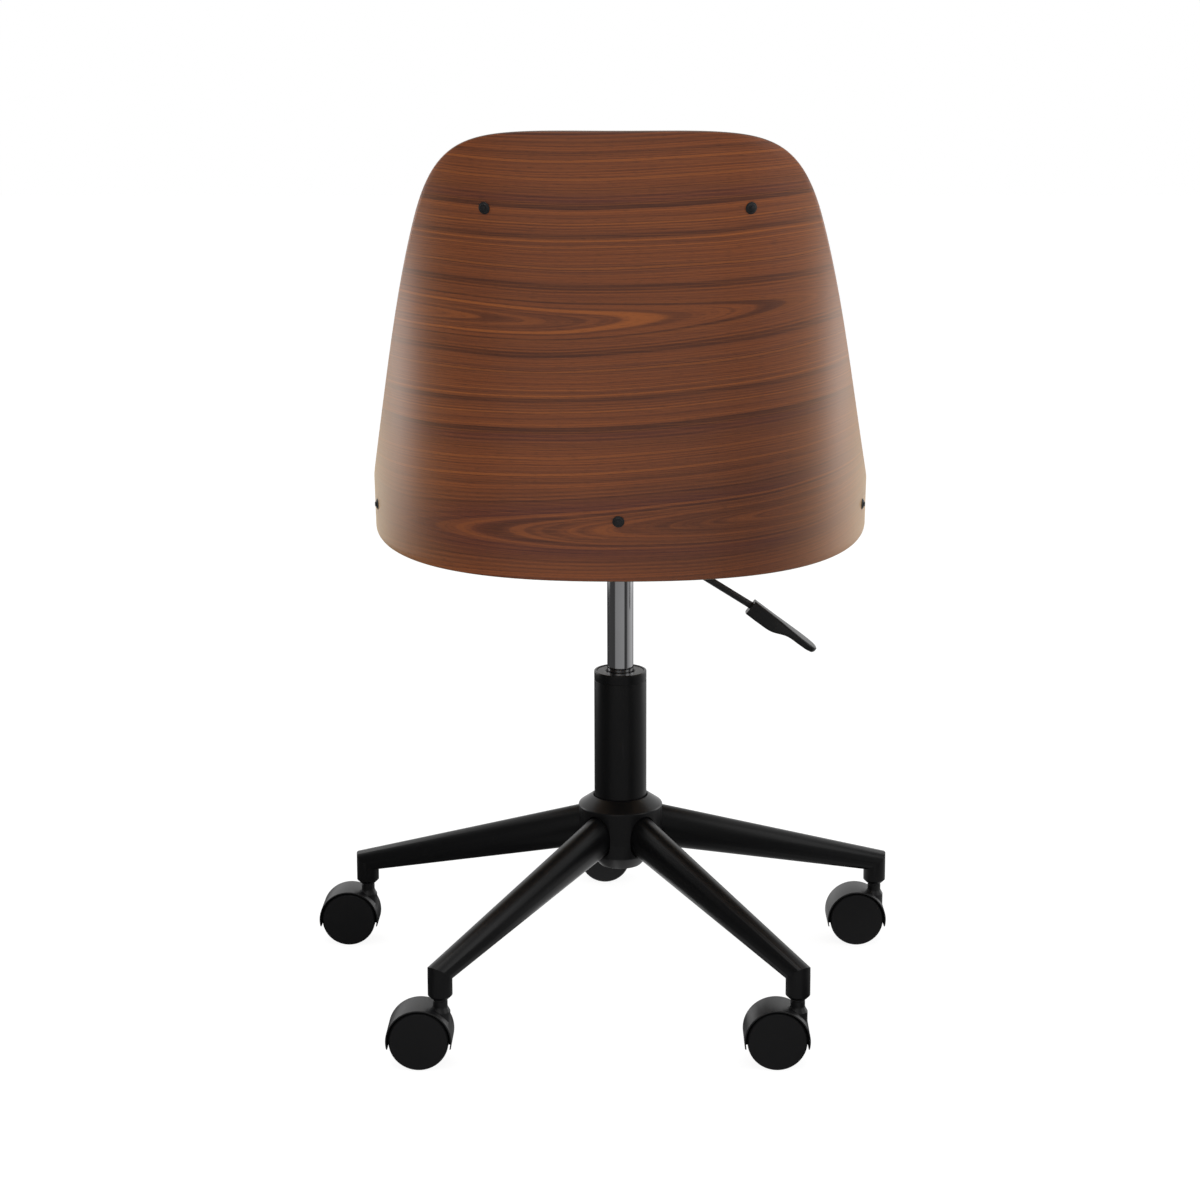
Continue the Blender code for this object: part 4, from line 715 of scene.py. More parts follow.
def buildWheel():
    # about Z, its outer face up: a blind bore for the axle and a flat face with a chamfer
    bore, rim = caster["axle"] + fit, caster["wheelRadius"]
    low, face = caster["wheelInner"], caster["wheelOuter"]
    boreEnd = caster["axleHalf"] + fit
    wheel = lathe("caster_tread", filleted((
        (0, boreEnd, 0), (bore, boreEnd, 0), (bore, low, 0.0002), (rim, low, 0.0007),
        (rim, face - 0.0016, 0.0006), (rim - 0.0014, face, 0.0004), (0, face, 0)), 4), 128)
    smooth(wheel)
    return wheel


def buildStem():
    stem = lathe("caster_post", filleted((
        (0, caster["stemBottom"], 0), (caster["stemFoot"], caster["stemBottom"], 0.0006),
        (caster["stemFoot"], caster["collarBottom"], 0), (caster["collar"], caster["collarBottom"], 0.0003),
        (caster["collar"], caster["collarTop"], 0.0003), (caster["stem"], caster["collarTop"], 0),
        (caster["stem"], caster["stemTop"], 0.0010), (0, caster["stemTop"], 0)), 4), 64)
    smooth(stem)
    return stem


def legAngle(number):
    return math.radians(caster["firstAngle"] + (number - 1) * 360 / caster["count"])


def buildCasters():
    hood, wheel, stem = buildHood(), buildWheel(), buildStem()
    half = caster["axleHalf"]
    axle = rod("caster_pin", caster["axle"], (0, -half, 0), (0, half, 0), 48)
    softenEdges(axle, 0.0004, 2, 60)
    smooth(axle)
    for number in range(1, caster["count"] + 1):
        angle, reach = legAngle(number), caster["reach"]
        foot = Matrix.Translation((axisX + reach * math.cos(angle), reach * math.sin(angle), 0))
        hub = foot @ Matrix.Translation((caster["trail"], 0, caster["wheelRadius"]))
        body = f"caster_{number}"
        dressed(copied(hood, f"{body}_hood", foot), body, "black_plastic",
                f"{body}_housing")
        dressed(copied(stem, f"{body}_post", foot), "base", "black_steel",
                f"{body}_stem")
        dressed(copied(axle, f"{body}_pin", hub), body, "black_steel", f"{body}_axle")
        for letter, turn in (("a", -quarter), ("b", quarter)):
            piece = copied(wheel, f"{body}_tread_{letter}", hub @ Matrix.Rotation(turn, 4, "X"))
            dressed(piece, f"{body}_roller_{letter}", "wheel_plastic",
                    f"{body}_wheel_{letter}")
    drop(hood, wheel, stem, axle)


buildCasters()
print("casters done")


# Star base

leg = {
    "rootRadius": 0.0301, "rootTop": 0.1729, "rootBottom": 0.1290, "rootHalf": 0.0140,
    "endTop": 0.0977, "endBottom": 0.0751, "endHalf": 0.0110, "sides": 96,
    "socketBottom": 0.0627, "socketTop": 0.0857, "socketRadius": 0.0112, "socketChamfer": 0.0032,
    "pocketGap": 0.0011,
}


def legRing(along, gap=0.0):
    share = (along - leg["rootRadius"]) / (caster["reach"] - leg["rootRadius"])
    top = leg["rootTop"] + (leg["endTop"] - leg["rootTop"]) * share + gap
    bottom = leg["rootBottom"] + (leg["endBottom"] - leg["rootBottom"]) * share - gap
    half = leg["rootHalf"] + (leg["endHalf"] - leg["rootHalf"]) * share + gap
    ring = []
    for step in range(leg["sides"]):
        angle = math.tau * step / leg["sides"]
        rise = (top - bottom) / 2 * math.sin(angle)
        ring.append((along, half * math.cos(angle), (top + bottom) / 2 + rise))
    return ring


def buildLeg():
    reach, radius = caster["reach"], leg["socketRadius"]
    beam = closedUp(wrapped("leg_beam", [legRing(leg["rootRadius"]), legRing(reach + radius * 1.5)]))
    # the end is rounded over the socket by a tall blank with a half round end
    blank = rod("end_blank", radius - 0.00005, (reach, 0, 0), (reach, 0, 0.2), 128)
    bpy.ops.mesh.primitive_cube_add(size=1)
    box = added("end_box")
    box.data.transform(Matrix.Diagonal((reach, 0.06, 0.2, 1)))
    box.data.transform(Matrix.Translation((reach / 2, 0, 0.1)))
    cut(blank, box, "UNION")
    cut(beam, blank, "INTERSECT")
    socket = lathe("leg_socket", filleted((
        (0, leg["socketBottom"], 0), (radius - leg["socketChamfer"], leg["socketBottom"], 0.0004),
        (radius, leg["socketBottom"] + leg["socketChamfer"], 0.0010), (radius, leg["socketTop"], 0),
        (0, leg["socketTop"], 0)), 5), 128)
    socket.data.transform(Matrix.Translation((reach, 0, 0)))
    cut(beam, socket, "UNION")
    softenEdges(cleaned(beam), 0.0010, 3, 30)
    boreTop = caster["stemTop"] + fit
    cut(beam, rod("stem_bore", caster["stem"] + fit, (reach, 0, 0.05), (reach, 0, boreTop), 48))
    smooth(beam, 32)
    return beam


hub = {
    "bottom": 0.1132, "bottomRadius": 0.0206, "hole": 0.0170, "haunchRadius": 0.0330, "haunch": 0.1267,
    "bowlRadius": 0.0405, "bowlTop": 0.1437, "radius": 0.0414, "shoulder": 0.1747, "top": 0.1843,
    "lip": 0.0014, "fillet": 0.0090, "shoulderFillet": 0.0022,
}
column = {
    "radius": 0.0257, "footRadius": 0.0247, "wall": 0.0024, "top": 0.3101, "bottom": 0.1260, "floor": 0.0040,
    "cap": 0.0088, "groove": 0.0005, "grooveHeight": 0.0009, "rodHole": 0.00535,
}


def buildHub():
    boreTop = column["radius"] + fit
    boreBottom = column["footRadius"] + fit
    seat = column["bottom"] - fit
    profile = filleted((
        (hub["hole"], seat, 0), (hub["hole"], hub["bottom"], 0.0004),
        (hub["bottomRadius"], hub["bottom"], 0.0010), (hub["haunchRadius"], hub["haunch"], hub["fillet"]),
        (hub["bowlRadius"], hub["bowlTop"], hub["fillet"]),
        (hub["radius"], hub["shoulder"], hub["shoulderFillet"]), (boreTop + hub["lip"], hub["top"], 0.0006),
        (boreTop, hub["top"] - hub["lip"], 0), (boreBottom, seat, 0), (hub["hole"], seat, 0)), 8)
    casting = lathe("hub_casting", profile, 160)
    for number in range(1, caster["count"] + 1):
        pocket = closedUp(wrapped("pocket", [legRing(leg["rootRadius"] - fit, leg["pocketGap"]),
                                             legRing(hub["radius"] * 1.5, leg["pocketGap"])]))
        pocket.data.transform(Matrix.Rotation(legAngle(number), 4, "Z"))
        cut(casting, pocket)
    softenEdges(casting, 0.0005, 3, 35)
    smooth(casting)
    casting.data.transform(Matrix.Translation(columnPlace))
    return casting


legBlank = buildLeg()
for number in range(1, caster["count"] + 1):
    turned = Matrix.Translation(columnPlace) @ Matrix.Rotation(legAngle(number), 4, "Z")
    piece = copied(legBlank, f"leg_beam_{number}", turned)
    dressed(piece, "base", "black_paint", f"base_leg_{number}")
drop(legBlank)
dressed(buildHub(), "base", "black_paint", "base_hub")
print("star base done")


# Column and gas lift

lift = {
    "radius": 0.01285, "bottom": 0.2227, "top": 0.4397, "taperBottom": 0.4017, "tip": 0.0122,
    "pinHole": 0.00335, "pinHoleBottom": 0.4260,
    "bushBottom": 0.2095, "bushTop": 0.3095, "bushMouth": 0.0147, "mouthDepth": 0.0028,
}


def turnedPiece(name, profile, body, slotName, node, steps=128, fillSteps=5):
    piece = lathe(name, filleted(profile, fillSteps), steps)
    piece.data.transform(Matrix.Translation(columnPlace))
    smooth(piece, 32)
    return dressed(piece, body, slotName, node)


def buildColumn():
    radius, wall = column["radius"], column["wall"]
    inside, footInside = radius - wall, column["footRadius"] - wall
    floorTop = column["bottom"] + column["floor"]
    grooveTop = column["top"] - column["cap"]
    grooveRadius = radius - column["groove"]
    turnedPiece("column_tube", (
        (column["rodHole"], column["bottom"], 0), (column["footRadius"], column["bottom"], 0.0006),
        (radius, hub["top"], 0), (radius, grooveTop - column["grooveHeight"], 0.0002),
        (grooveRadius, grooveTop - column["grooveHeight"], 0), (grooveRadius, grooveTop, 0),
        (radius, grooveTop, 0.0002), (radius, column["top"], 0.0010), (inside, column["top"], 0.0004),
        (inside, hub["top"], 0), (footInside, floorTop, 0), (column["rodHole"], floorTop, 0),
        (column["rodHole"], column["bottom"], 0)), "base", "black_paint", "base_column", 160)
    bushBore = lift["radius"] + 0.00035
    turnedPiece("guide_bush", (
        (bushBore, lift["bushBottom"], 0), (inside - fit, lift["bushBottom"], 0.0006),
        (inside - fit, lift["bushTop"], 0.0005), (lift["bushMouth"], lift["bushTop"], 0.0004),
        (bushBore, lift["bushTop"] - lift["mouthDepth"], 0.0006), (bushBore, lift["bushBottom"], 0)),
        "base", "black_plastic", "column_bush")
    guideHole, pinHole = column["rodHole"], lift["pinHole"]
    turnedPiece("lift_cylinder", (
        (guideHole, lift["bottom"], 0), (lift["radius"], lift["bottom"], 0.0010),
        (lift["radius"], lift["taperBottom"], 0), (lift["tip"], lift["top"], 0.0008),
        (pinHole, lift["top"], 0.0003), (pinHole, lift["pinHoleBottom"], 0), (0, lift["pinHoleBottom"], 0)),
        "seat", "polished_steel", "gas_cylinder", 160)


buildColumn()
print("column done")


# Seat mechanism and lever

mechanism = {
    "seatUnderside": 0.4537, "boardTop": 0.4667,
    "socketRadius": 0.0170, "socketBottom": 0.4057, "socketTop": 0.4372,
    "pivotX": -0.0360, "pivotZ": 0.4322, "leverSlope": 32.1, "rodRadius": 0.0035, "rodLength": 0.1260,
    "eyeRadius": 0.0065, "eyeHalf": 0.0060, "fingerHalf": 0.0050, "fingerThickness": 0.0036,
    "fingerBottom": 0.4456, "fingerReach": 0.0040, "pinRadius": 0.0025,
}
paddle = {
    "startX": -0.1270, "startZ": 0.3735, "slope": 37.6, "corner": 0.0022, "sides": 10, "steps": 8,
    # distance along, bottom, top and half width
    "sections": ((0.0000, -0.0078, 0.0078, 0.0070), (0.0150, -0.0077, 0.0078, 0.0075),
                 (0.0300, -0.0066, 0.0078, 0.0087), (0.0450, -0.0004, 0.0076, 0.0120),
                 (0.0600, 0.0006, 0.0075, 0.0138), (0.0700, 0.0011, 0.0074, 0.0124),
                 (0.0745, 0.0020, 0.0073, 0.0092), (0.0762, 0.0030, 0.0071, 0.0055)),
}


def refined(name, node, width, angle=30):
    # a merged copy of a plain CAD piece, its flat faces joined and its edges broken
    piece = copied(frame["nodes"][node], name)
    startEdit(piece)
    bpy.ops.mesh.remove_doubles(threshold=1e-6)
    bpy.ops.mesh.dissolve_limited(angle_limit=math.radians(1))
    bpy.ops.mesh.normals_make_consistent(inside=False)
    endEdit()
    softenEdges(piece, width, 2, angle)
    smooth(piece)
    return piece


def extruded(name, outline, halfDepth):
    # an outline of (x, z) corners, given depth along Y
    piece = traced(name, outline, -halfDepth)
    bpy.ops.mesh.edge_face_add()
    bpy.ops.mesh.extrude_region_move(TRANSFORM_OT_translate={"value": (0, halfDepth * 2, 0)})
    endEdit()
    return cleaned(piece)


def through(rows, steps):
    # a smooth run through rows of numbers, taken at even steps between them
    rows = np.array(rows)
    slopes = np.gradient(rows, rows[:, 0], axis=0)
    smoothRows = []
    for first, second, slope, nextSlope in zip(rows, rows[1:], slopes, slopes[1:]):
        span = second[0] - first[0]
        for step in range(steps):
            t = step / steps
            row = (2 * t ** 3 - 3 * t ** 2 + 1) * first + (t ** 3 - 2 * t ** 2 + t) * span * slope
            row += (3 * t ** 2 - 2 * t ** 3) * second + (t ** 3 - t ** 2) * span * nextSlope
            smoothRows.append(row)
    return smoothRows + [rows[-1]]


def paddleRing(section):
    along, bottom, top, half = section
    corner = min(paddle["corner"], (top - bottom) * 0.42)
    slope = math.radians(paddle["slope"])
    ring = []
    for y, rise, start in ((half - corner, top - corner, 90), (half - corner, bottom + corner, 0),
                           (corner - half, bottom + corner, -90), (corner - half, top - corner, -180)):
        for step in range(paddle["sides"]):
            turn = math.radians(start - 90 * step / (paddle["sides"] - 1))
            side, up = y + corner * math.cos(turn), rise + corner * math.sin(turn)
            ring.append((axisX + paddle["startX"] - along * math.cos(slope) - up * math.sin(slope), side,
                         paddle["startZ"] - along * math.sin(slope) + up * math.cos(slope)))
    return ring


def buildLever():
    slope = math.radians(mechanism["leverSlope"])
    pivot = Vector((axisX + mechanism["pivotX"], 0, mechanism["pivotZ"]))
    away = Vector((-math.cos(slope), 0, -math.sin(slope)))
    across = Vector((0, 1, 0))
    half = mechanism["fingerThickness"] / 2
    bottom = mechanism["fingerBottom"]
    top = bottom + mechanism["fingerThickness"]
    tip = axisX + mechanism["fingerReach"]
    lever = extruded("lever_arm", filleted((
        (pivot.x - half, pivot.z, 0), (pivot.x - half, top, mechanism["fingerThickness"]),
        (tip, top, 0.0006), (tip, bottom, 0.0006), (pivot.x + half, bottom, 0.0010),
        (pivot.x + half, pivot.z, 0))), mechanism["fingerHalf"])
    eye = mechanism["eyeHalf"]
    cut(lever, rod("eye", mechanism["eyeRadius"], pivot - across * eye, pivot + across * eye, 64), "UNION")
    arm = rod("arm", mechanism["rodRadius"], pivot + away * 0.003, pivot + away * mechanism["rodLength"], 64)
    cut(lever, arm, "UNION")
    side = across * 0.012
    cut(lever, rod("pin_bore", mechanism["pinRadius"] + fit, pivot - side, pivot + side, 32))
    softenEdges(lever, 0.0003, 2, 40)
    smooth(lever)
    dressed(lever, "height_lever", "black_steel", "lever_rod")
    sections = through(paddle["sections"], paddle["steps"])
    grip = closedUp(wrapped("paddle_grip", [paddleRing(section) for section in sections]))
    softenEdges(grip, 0.0011, 3, 50)
    toPaddle = (mechanism["pivotX"] - paddle["startX"]) / math.cos(slope)
    cut(grip, rod("rod_bore", mechanism["rodRadius"] + fit, pivot + away * (toPaddle - 0.0065),
                  pivot + away * (mechanism["rodLength"] + fit), 48))
    smooth(grip, 40)
    dressed(grip, "height_lever", "black_plastic", "lever_paddle")


def sleeve(height):
    # the bore of the sleeve, round the cylinder's taper
    share = (height - lift["taperBottom"]) / (lift["top"] - lift["taperBottom"])
    return lift["radius"] + (lift["tip"] - lift["radius"]) * max(share, 0.0) + fit


def buildMechanism():
    dressed(refined("plate_pressing", "seat_plate", 0.0005), "seat", "black_paint",
            "seat_plate")
    for number in range(1, 5):
        node = f"plate_bolt_{number}"
        dressed(refined(f"plate_bolt_head_{number}", node, 0.0004, 40), "seat", "black_steel", node)
    low, high = mechanism["socketBottom"], mechanism["socketTop"]
    turnedPiece("taper_sleeve", (
        (sleeve(low), low, 0), (sleeve(high), high, 0.0003), (mechanism["socketRadius"], high, 0.0008),
        (mechanism["socketRadius"], low, 0.0005), (sleeve(low), low, 0)),
        "seat", "black_steel", "taper_socket")


buildMechanism()
buildLever()
print("mechanism done")


# Seat and back cushions

cushion = {
    "voxel": 0.0050, "shrink": 0.0012, "pressure": 4.0, "frames": 20, "cap": 0.0080,
    "seam": 0.0780, "inward": 0.0142, "seatFront": 0.2350, "boardInward": 0.0113, "sideEnd": 0.4500,
    "cornerHandle": 0.0950, "frontHandle": 0.1450, "frontDrop": 0.0070, "dropStart": 0.4,
    "slack": 0.0022, "weltLift": 0.0003, "evening": 6,
    "welt": 0.0021, "weltSides": 12, "groove": 0.0018, "grooveWidth": 0.0040, "points": 640,
    "backEnd": 0.2960, "backBottom": 0.0920, "backInset": 0.0100, "backInward": 0.0236, "backCorner": 0.0300,
    # which way each pad is open, and how far it may crown there
    "seatOpen": Vector((0, 0, 1)), "seatCrown": 0.0045,
    "backOpen": Vector((0, -0.98, 0.17)), "backCrown": 0.0035,
}
panel = {
    "edge": 0.0012, "columns": 80, "backThickness": 0.0080, "backEnd": 0.2380, "backBottom": 0.1010,
    "backSpread": 1.10, "backInset": 0.0280,
    "railThickness": 0.0140, "railEnd": 0.3950, "railBottom": 0.0203,
    "railBack": 0.0670, "railSide": 0.0420, "railStart": 0.1300, "railFull": 0.2700,
}


def evenly(points, count):
    # a closed loop of points at even steps
    loop = np.array(list(points) + [points[0]], float)
    length = np.concatenate(([0.0], np.cumsum(np.linalg.norm(np.diff(loop, axis=0), axis=1))))
    places = np.linspace(0, length[-1], count, endpoint=False)
    return np.stack([np.interp(places, length, loop[:, part]) for part in range(3)], 1)


def mirroredLoop(half):
    return half + [(-first, second) for first, second in reversed(half[1:-1])]


def seatLoop(inward):
    # the seat's plan: along the shell on both sides and round the front corners
    side = [Vector(planAt(cushion["sideEnd"] * step / 160, inward)) for step in range(161)]
    direction = (side[-1] - side[-2]).normalized()
    front = -cushion["seatFront"] + inward - cushion["boardInward"]
    corner = interpolate_bezier(side[-1], side[-1] + direction * cushion["cornerHandle"],
                                Vector((cushion["frontHandle"], front)), Vector((0, front)), 120)
    return mirroredLoop([tuple(point) for point in side + corner[1:]])


def eased(value, start, full):
    share = min(max((value - start) / (full - start), 0.0), 1.0)
    return share * share * (3 - 2 * share)


def seatSeam():
    # the seat pad's top edge, a little lower at the front
    height = cushion["seam"]
    start = cushion["seatFront"] * cushion["dropStart"]
    points = []
    for x, y in seatLoop(cushion["inward"]):
        lower = cushion["frontDrop"] * eased(-y, start, cushion["seatFront"])
        points.append((axisX + x, y + height * lean, shell["rimHeight"] + height - lower))
    return evenly(points, cushion["points"])


def backSeam():
    # the back pad's front edge: across the top, down the sides and round the low corners
    end, low, radius = cushion["backEnd"], cushion["backBottom"], cushion["backCorner"]
    half = [(end * step / 80, edgeHeight(end * step / 80) - cushion["backInset"]) for step in range(81)]
    for step in range(10):
        turn = math.radians(10 * step)
        half.append((end - radius * (1 - math.cos(turn)), low + radius * (1 - math.sin(turn))))
    half.append((0.0, low))
    points = [sheetPoint(along, cushion["backInward"], height) for along, height in mirroredLoop(half)]
    return evenly(points, cushion["points"])


def pointsOf(piece):
    flat = np.empty(len(piece.data.vertices) * 3)
    piece.data.vertices.foreach_get("co", flat)
    return flat.reshape(-1, 3)


def blownUp(piece):
    # cloth under pressure, its points held near where they were
    before = pointsOf(piece)
    onlyThis(piece)
    cloth = piece.modifiers.new("Cloth", "CLOTH")
    cloth.settings.use_pressure = True
    cloth.settings.uniform_pressure_force = cushion["pressure"]
    cloth.settings.effector_weights.gravity = 0
    cloth.point_cache.frame_end = cushion["frames"]
    for step in range(1, cushion["frames"] + 1):
        bpy.context.scene.frame_set(step)
    bpy.ops.object.modifier_apply(modifier=cloth.name)
    bpy.context.scene.frame_set(1)
    moves = pointsOf(piece) - before
    lengths = np.linalg.norm(moves, axis=1)
    shares = np.minimum(1.0, cushion["cap"] / np.maximum(lengths, 1e-9))
    piece.data.vertices.foreach_set("co", (before + moves * shares[:, None]).ravel())


def heldInside(piece, room, openSide, rise):
    # nothing leaves the room that the cushion has or falls far short of it,
    # but its open side may crown a little more
    tree = BVHTree.FromObject(room, bpy.context.evaluated_depsgraph_get())
    for vertex in piece.data.vertices:
        nearest, normal, face, distance = tree.find_nearest(vertex.co)
        beyond = (vertex.co - nearest).dot(normal)
        free = rise * max(normal.dot(openSide), 0.0) ** 2
        vertex.co += normal * (min(max(beyond, -cushion["slack"]), free) - beyond)


def laidOn(piece, seam):
    # the seam's points moved onto the pad, and the run made even again
    tree = BVHTree.FromObject(piece, bpy.context.evaluated_depsgraph_get())
    points = []
    for point in seam:
        nearest, normal, face, distance = tree.find_nearest(Vector(point))
        points.append(nearest + normal * cushion["weltLift"])
    points = np.array(points)
    for _ in range(cushion["evening"]):
        points = points * 0.5 + (np.roll(points, 1, 0) + np.roll(points, -1, 0)) * 0.25
    return points


def grooved(piece, seam):
    tree = KDTree(len(seam))
    for index, place in enumerate(seam):
        tree.insert(place, index)
    tree.balance()
    moves = []
    for vertex in piece.data.vertices:
        nearest, index, distance = tree.find(vertex.co)
        pull = math.exp(-(distance / cushion["grooveWidth"]) ** 2)
        pucker = 1.0 + 0.35 * math.sin(index * 0.9) * math.sin(index * 0.37)
        moves.append(vertex.normal * cushion["groove"] * pull * pucker)
    for vertex, move in zip(piece.data.vertices, moves):
        vertex.co -= move


def welted(name, seam):
    # a covered cord laid along the seam
    sides, radius = cushion["weltSides"], cushion["welt"]
    rings = []
    for place, run in zip(seam, np.roll(seam, -1, 0) - np.roll(seam, 1, 0)):
        run = Vector(run).normalized()
        first = run.cross(Vector((0.31, 0.17, 0.93))).normalized()
        second = run.cross(first)
        turns = [math.tau * step / sides for step in range(sides)]
        rings.append([tuple(Vector(place) + (first * math.cos(turn) + second * math.sin(turn)) * radius)
                      for turn in turns])
    cord = closedUp(wrapped(name, rings + rings[:1]))
    smooth(cord, 60)
    return dressed(cord, "seat", "black_cover")


def plainCopy(node, name):
    piece = copied(frame["nodes"][node], name)
    piece.hide_viewport = piece.hide_render = False
    piece.hide_set(False)
    return cleaned(piece)


def buildSeatPanel():
    low, high, edge = mechanism["seatUnderside"], mechanism["boardTop"], panel["edge"]
    rings = []
    for inset, z in ((edge, low), (0.0, low + edge), (0.0, high - edge), (edge, high)):
        rings.append([(axisX + x, y + (low - shell["rimHeight"]) * lean, z)
                      for x, y in seatLoop(cushion["boardInward"] + inset)])
    board = closedUp(wrapped("board_panel", rings))
    for number in range(1, 5):
        hole = plainCopy(f"plate_bolt_{number}", "bolt_hole")
        modify(hole, "DISPLACE", strength=fit, mid_level=0.0)
        cut(board, hole)
    smooth(board, 40)
    return dressed(board, "seat", "board_wood", "seat_board")


def bentPanel(name, end, low, highAt, thickness, screws, node):
    half = [(end * step / panel["columns"], low, highAt(end * step / panel["columns"]))
            for step in range(panel["columns"] + 1)]
    board = bentBoard(name, bothSides(half), cushion["boardInward"], thickness, panel["edge"])
    drilled(board, screws)
    smooth(board, 40)
    return dressed(board, "seat", "board_wood", node)


def railTop(along):
    share = eased(along, panel["railStart"], panel["railFull"])
    return panel["railBack"] + (panel["railSide"] - panel["railBack"]) * share


def padBoardTop(along):
    return edgeHeight(along * panel["backSpread"]) - panel["backInset"]


def buildCushion(name, node, seam, openSide, rise, board=None, boardPanel=None):
    # a pad that wraps a board is formed whole, and the board's pocket is cut at the end
    room = plainCopy(node, name + "_room")
    if board:
        filling = plainCopy(board, "filling")
        modify(filling, "DISPLACE", strength=fit, mid_level=0.0)
        cut(room, filling, "UNION")
    pad = copied(room, name)
    modify(pad, "REMESH", mode="VOXEL", voxel_size=cushion["voxel"])
    modify(pad, "SMOOTH", factor=0.5, iterations=4)
    modify(pad, "DISPLACE", strength=-cushion["shrink"], mid_level=0.0)
    blownUp(pad)
    heldInside(pad, room, openSide, rise)
    modify(pad, "SUBSURF", levels=1, render_levels=1)
    seam = laidOn(pad, seam)
    grooved(pad, seam)
    if board:
        pocket = copied(boardPanel, "pocket")
        modify(pocket, "DISPLACE", strength=fit, mid_level=0.0)
        cut(pad, pocket)
    smooth(pad, 60)
    dressed(pad, "seat", "black_cover", node)
    welted(name + "_welt", seam)
    drop(room)
    print(name, "done:", len(pad.data.polygons), "faces")


buildSeatPanel()
bentPanel("rail_strip", panel["railEnd"], panel["railBottom"], railTop, panel["railThickness"],
          screw["places"][2:], "seat_rail")
padPanel = bentPanel("pad_board_panel", panel["backEnd"], panel["backBottom"], padBoardTop,
                     panel["backThickness"], screw["places"][:2], "back_pad_board")
buildCushion("seat_pad", "seat_cushion", seatSeam(), cushion["seatOpen"], cushion["seatCrown"])
buildCushion("back_pad", "back_cushion", backSeam(), cushion["backOpen"], cushion["backCrown"],
             "back_pad_board", padPanel)


# Camera, floor and light

def seenRays(paint):
    # rays that see the backdrop: straight from the camera, and by a reflection or through glass
    direct, glossy, clear = [paint.node("ShaderNodeLightPath", {}, {}, name)
                             for name in ("Is Camera Ray", "Is Glossy Ray", "Is Transmission Ray")]
    return direct, glossy + clear


def studioTone(paint, place, near=0.0, far=0.0):
    # round the chair in a reflection: the white backdrop behind it, a dim room and a wide window
    across = paint.part(place, 0)
    depth = paint.part(place, 1)
    turn = paint.maths("ARCTAN2", across * -1.0, depth)
    tone = paint.ramp(turn / math.tau + 0.5, *[(degrees / 360 + 0.5, (level, level, level, 1))
                                               for degrees, level in studio["round"]])
    radius = (across * across + depth * depth) ** 0.5
    behind = paint.ranged(depth / radius, -0.05, -0.45)
    if far:
        behind = behind * paint.ranged(radius, near, far)
    return paint.mix(behind, tone, (1, 1, 1, 1))


def buildCamera():
    turn = (math.radians(view["tilt"]), 0, math.radians(180))
    bpy.ops.object.camera_add(location=view["place"], rotation=turn)
    camera = bpy.context.object
    camera.data.lens = view["lens"]
    camera.data.sensor_width = view["sensor"]
    camera.data.shift_x, camera.data.shift_y = view["shift"]
    camera.data.clip_end = view["end"]
    bpy.context.scene.camera = camera


def buildFloor():
    bpy.ops.mesh.primitive_plane_add(size=studio["floorSize"])
    floor = added("studio_floor")
    paint = Paint("studio_floor", **{"Base Color": colour(236, 236, 236), "Roughness": 0.7,
                                     "Specular IOR Level": 0.1})
    # seen straight, the floor is the white of the backdrop with the shadow on it
    direct, reflected = seenRays(paint)
    glow = paint.node("ShaderNodeEmission", {}, {"Color": (1, 1, 1, 1), "Strength": studio["floorGlow"]})
    shade = paint.node("ShaderNodeBsdfDiffuse", {}, {"Color": (studio["floorShade"],) * 3 + (1,)})
    white = paint.node("ShaderNodeAddShader", {}, {0: glow, 1: shade})
    tone = studioTone(paint, paint.place(), *studio["dimFloor"])
    mirrored = paint.node("ShaderNodeEmission", {}, {"Color": tone, "Strength": 1.0})
    plain = Link(paint, paint.shader.outputs[0])
    blended = paint.node("ShaderNodeMixShader", {}, {0: reflected, 1: plain, 2: mirrored})
    blended = paint.node("ShaderNodeMixShader", {}, {0: direct, 1: blended, 2: white})
    paint.tree.links.new(blended.socket, paint.tree.nodes["Material Output"].inputs["Surface"])
    floor.data.materials.append(paint.material)


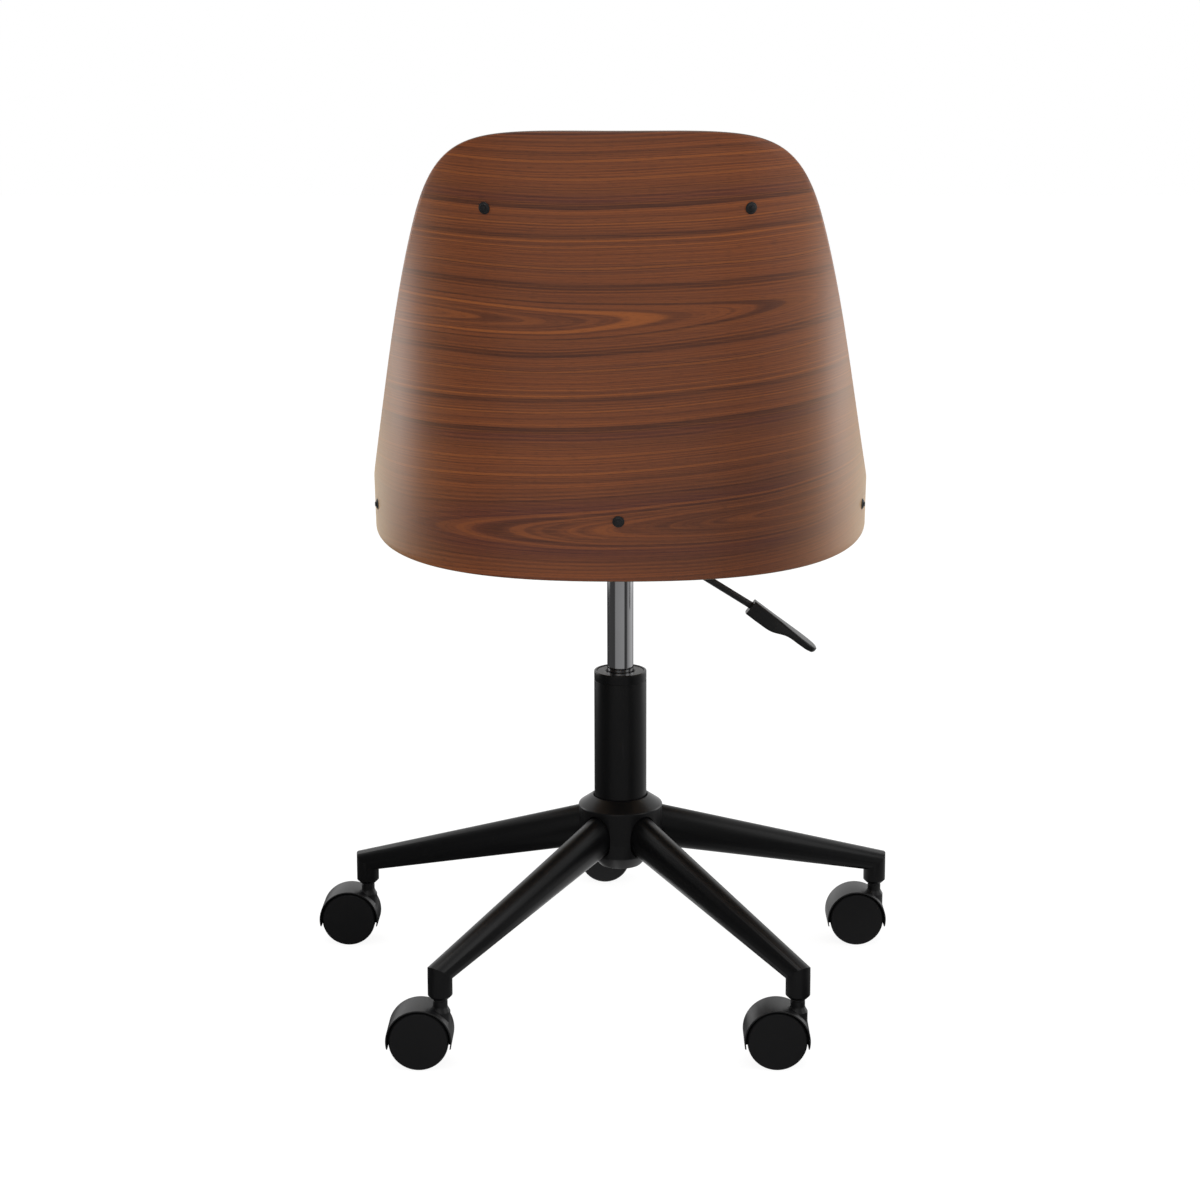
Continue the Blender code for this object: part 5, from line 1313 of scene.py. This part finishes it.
def areaLamp(name, place, aim, size, power):
    bpy.ops.object.light_add(type="AREA", location=place)
    lamp = bpy.context.object
    lamp.name = name
    lamp.data.shape = "RECTANGLE"
    lamp.data.size, lamp.data.size_y = size
    lamp.data.energy = power
    lamp.rotation_euler = (Vector(aim) - Vector(place)).to_track_quat("-Z", "Y").to_euler()


def buildLight():
    sky = Sky("studio")
    direct, reflected = seenRays(sky)
    place = sky.node("ShaderNodeTexCoord", {}, {}, "Generated")
    upward = sky.part(place, 2)
    room = sky.mix(sky.ranged(upward, 0.60, 0.86), studioTone(sky, place), (studio["ceiling"],) * 3 + (1,))
    seen = sky.mix(direct, room, (1, 1, 1, 1))
    white = sky.node("ShaderNodeBackground", {}, {"Color": seen, "Strength": 1.0})
    soft = sky.node("ShaderNodeBackground", {}, {"Color": (1, 1, 1, 1), "Strength": studio["world"]})
    blended = sky.node("ShaderNodeMixShader", {}, {0: direct + reflected, 1: soft, 2: white})
    sky.feed(sky.tree.nodes.new("ShaderNodeOutputWorld"), {"Surface": blended})
    for name, place, aim, size, power in studio["lamps"]:
        areaLamp(name, place, aim, size, power)


view = {
    "place": (-0.0338, 2.2197, 0.8858), "tilt": 80.3843, "lens": 69.909, "sensor": 36,
    "shift": (-0.0296, -0.1093), "end": 60,
}
studio = {
    "floorSize": 30, "world": 0.55, "ceiling": 0.75, "floorGlow": 0.90, "floorShade": 0.22,
    "dimFloor": (1.7, 2.2),
    # degrees round from the camera's side toward the lever, and how light the room is there
    "round": ((-180, 1.0), (-168, 1.0), (-156, 0.06), (-49, 0.045), (-41, 0.22), (34, 0.26), (41, 0.04),
              (58, 0.04), (68, 0.20), (130, 0.55), (156, 0.50), (168, 1.0), (180, 1.0)),
    "lamps": (("overhead", (0.2, 0.4, 3.0), (0, 0, 0.4), (2.4, 2.4), 22.0),
              ("edgeOne", (2.1, -1.3, 0.8), (0, 0, 0.6), (0.9, 1.8), 9.0),
              ("edgeTwo", (-2.1, -1.3, 0.8), (0, 0, 0.6), (0.9, 1.8), 9.0),
              ("side", (-2.2, 1.0, 1.2), (0, 0, 0.5), (1.2, 1.8), 8.0),
              ("front", (0.6, 3.0, 1.4), (0, 0, 0.5), (2.0, 2.0), 6.0)),
}
buildCamera()
buildFloor()
buildLight()
print("stage done")
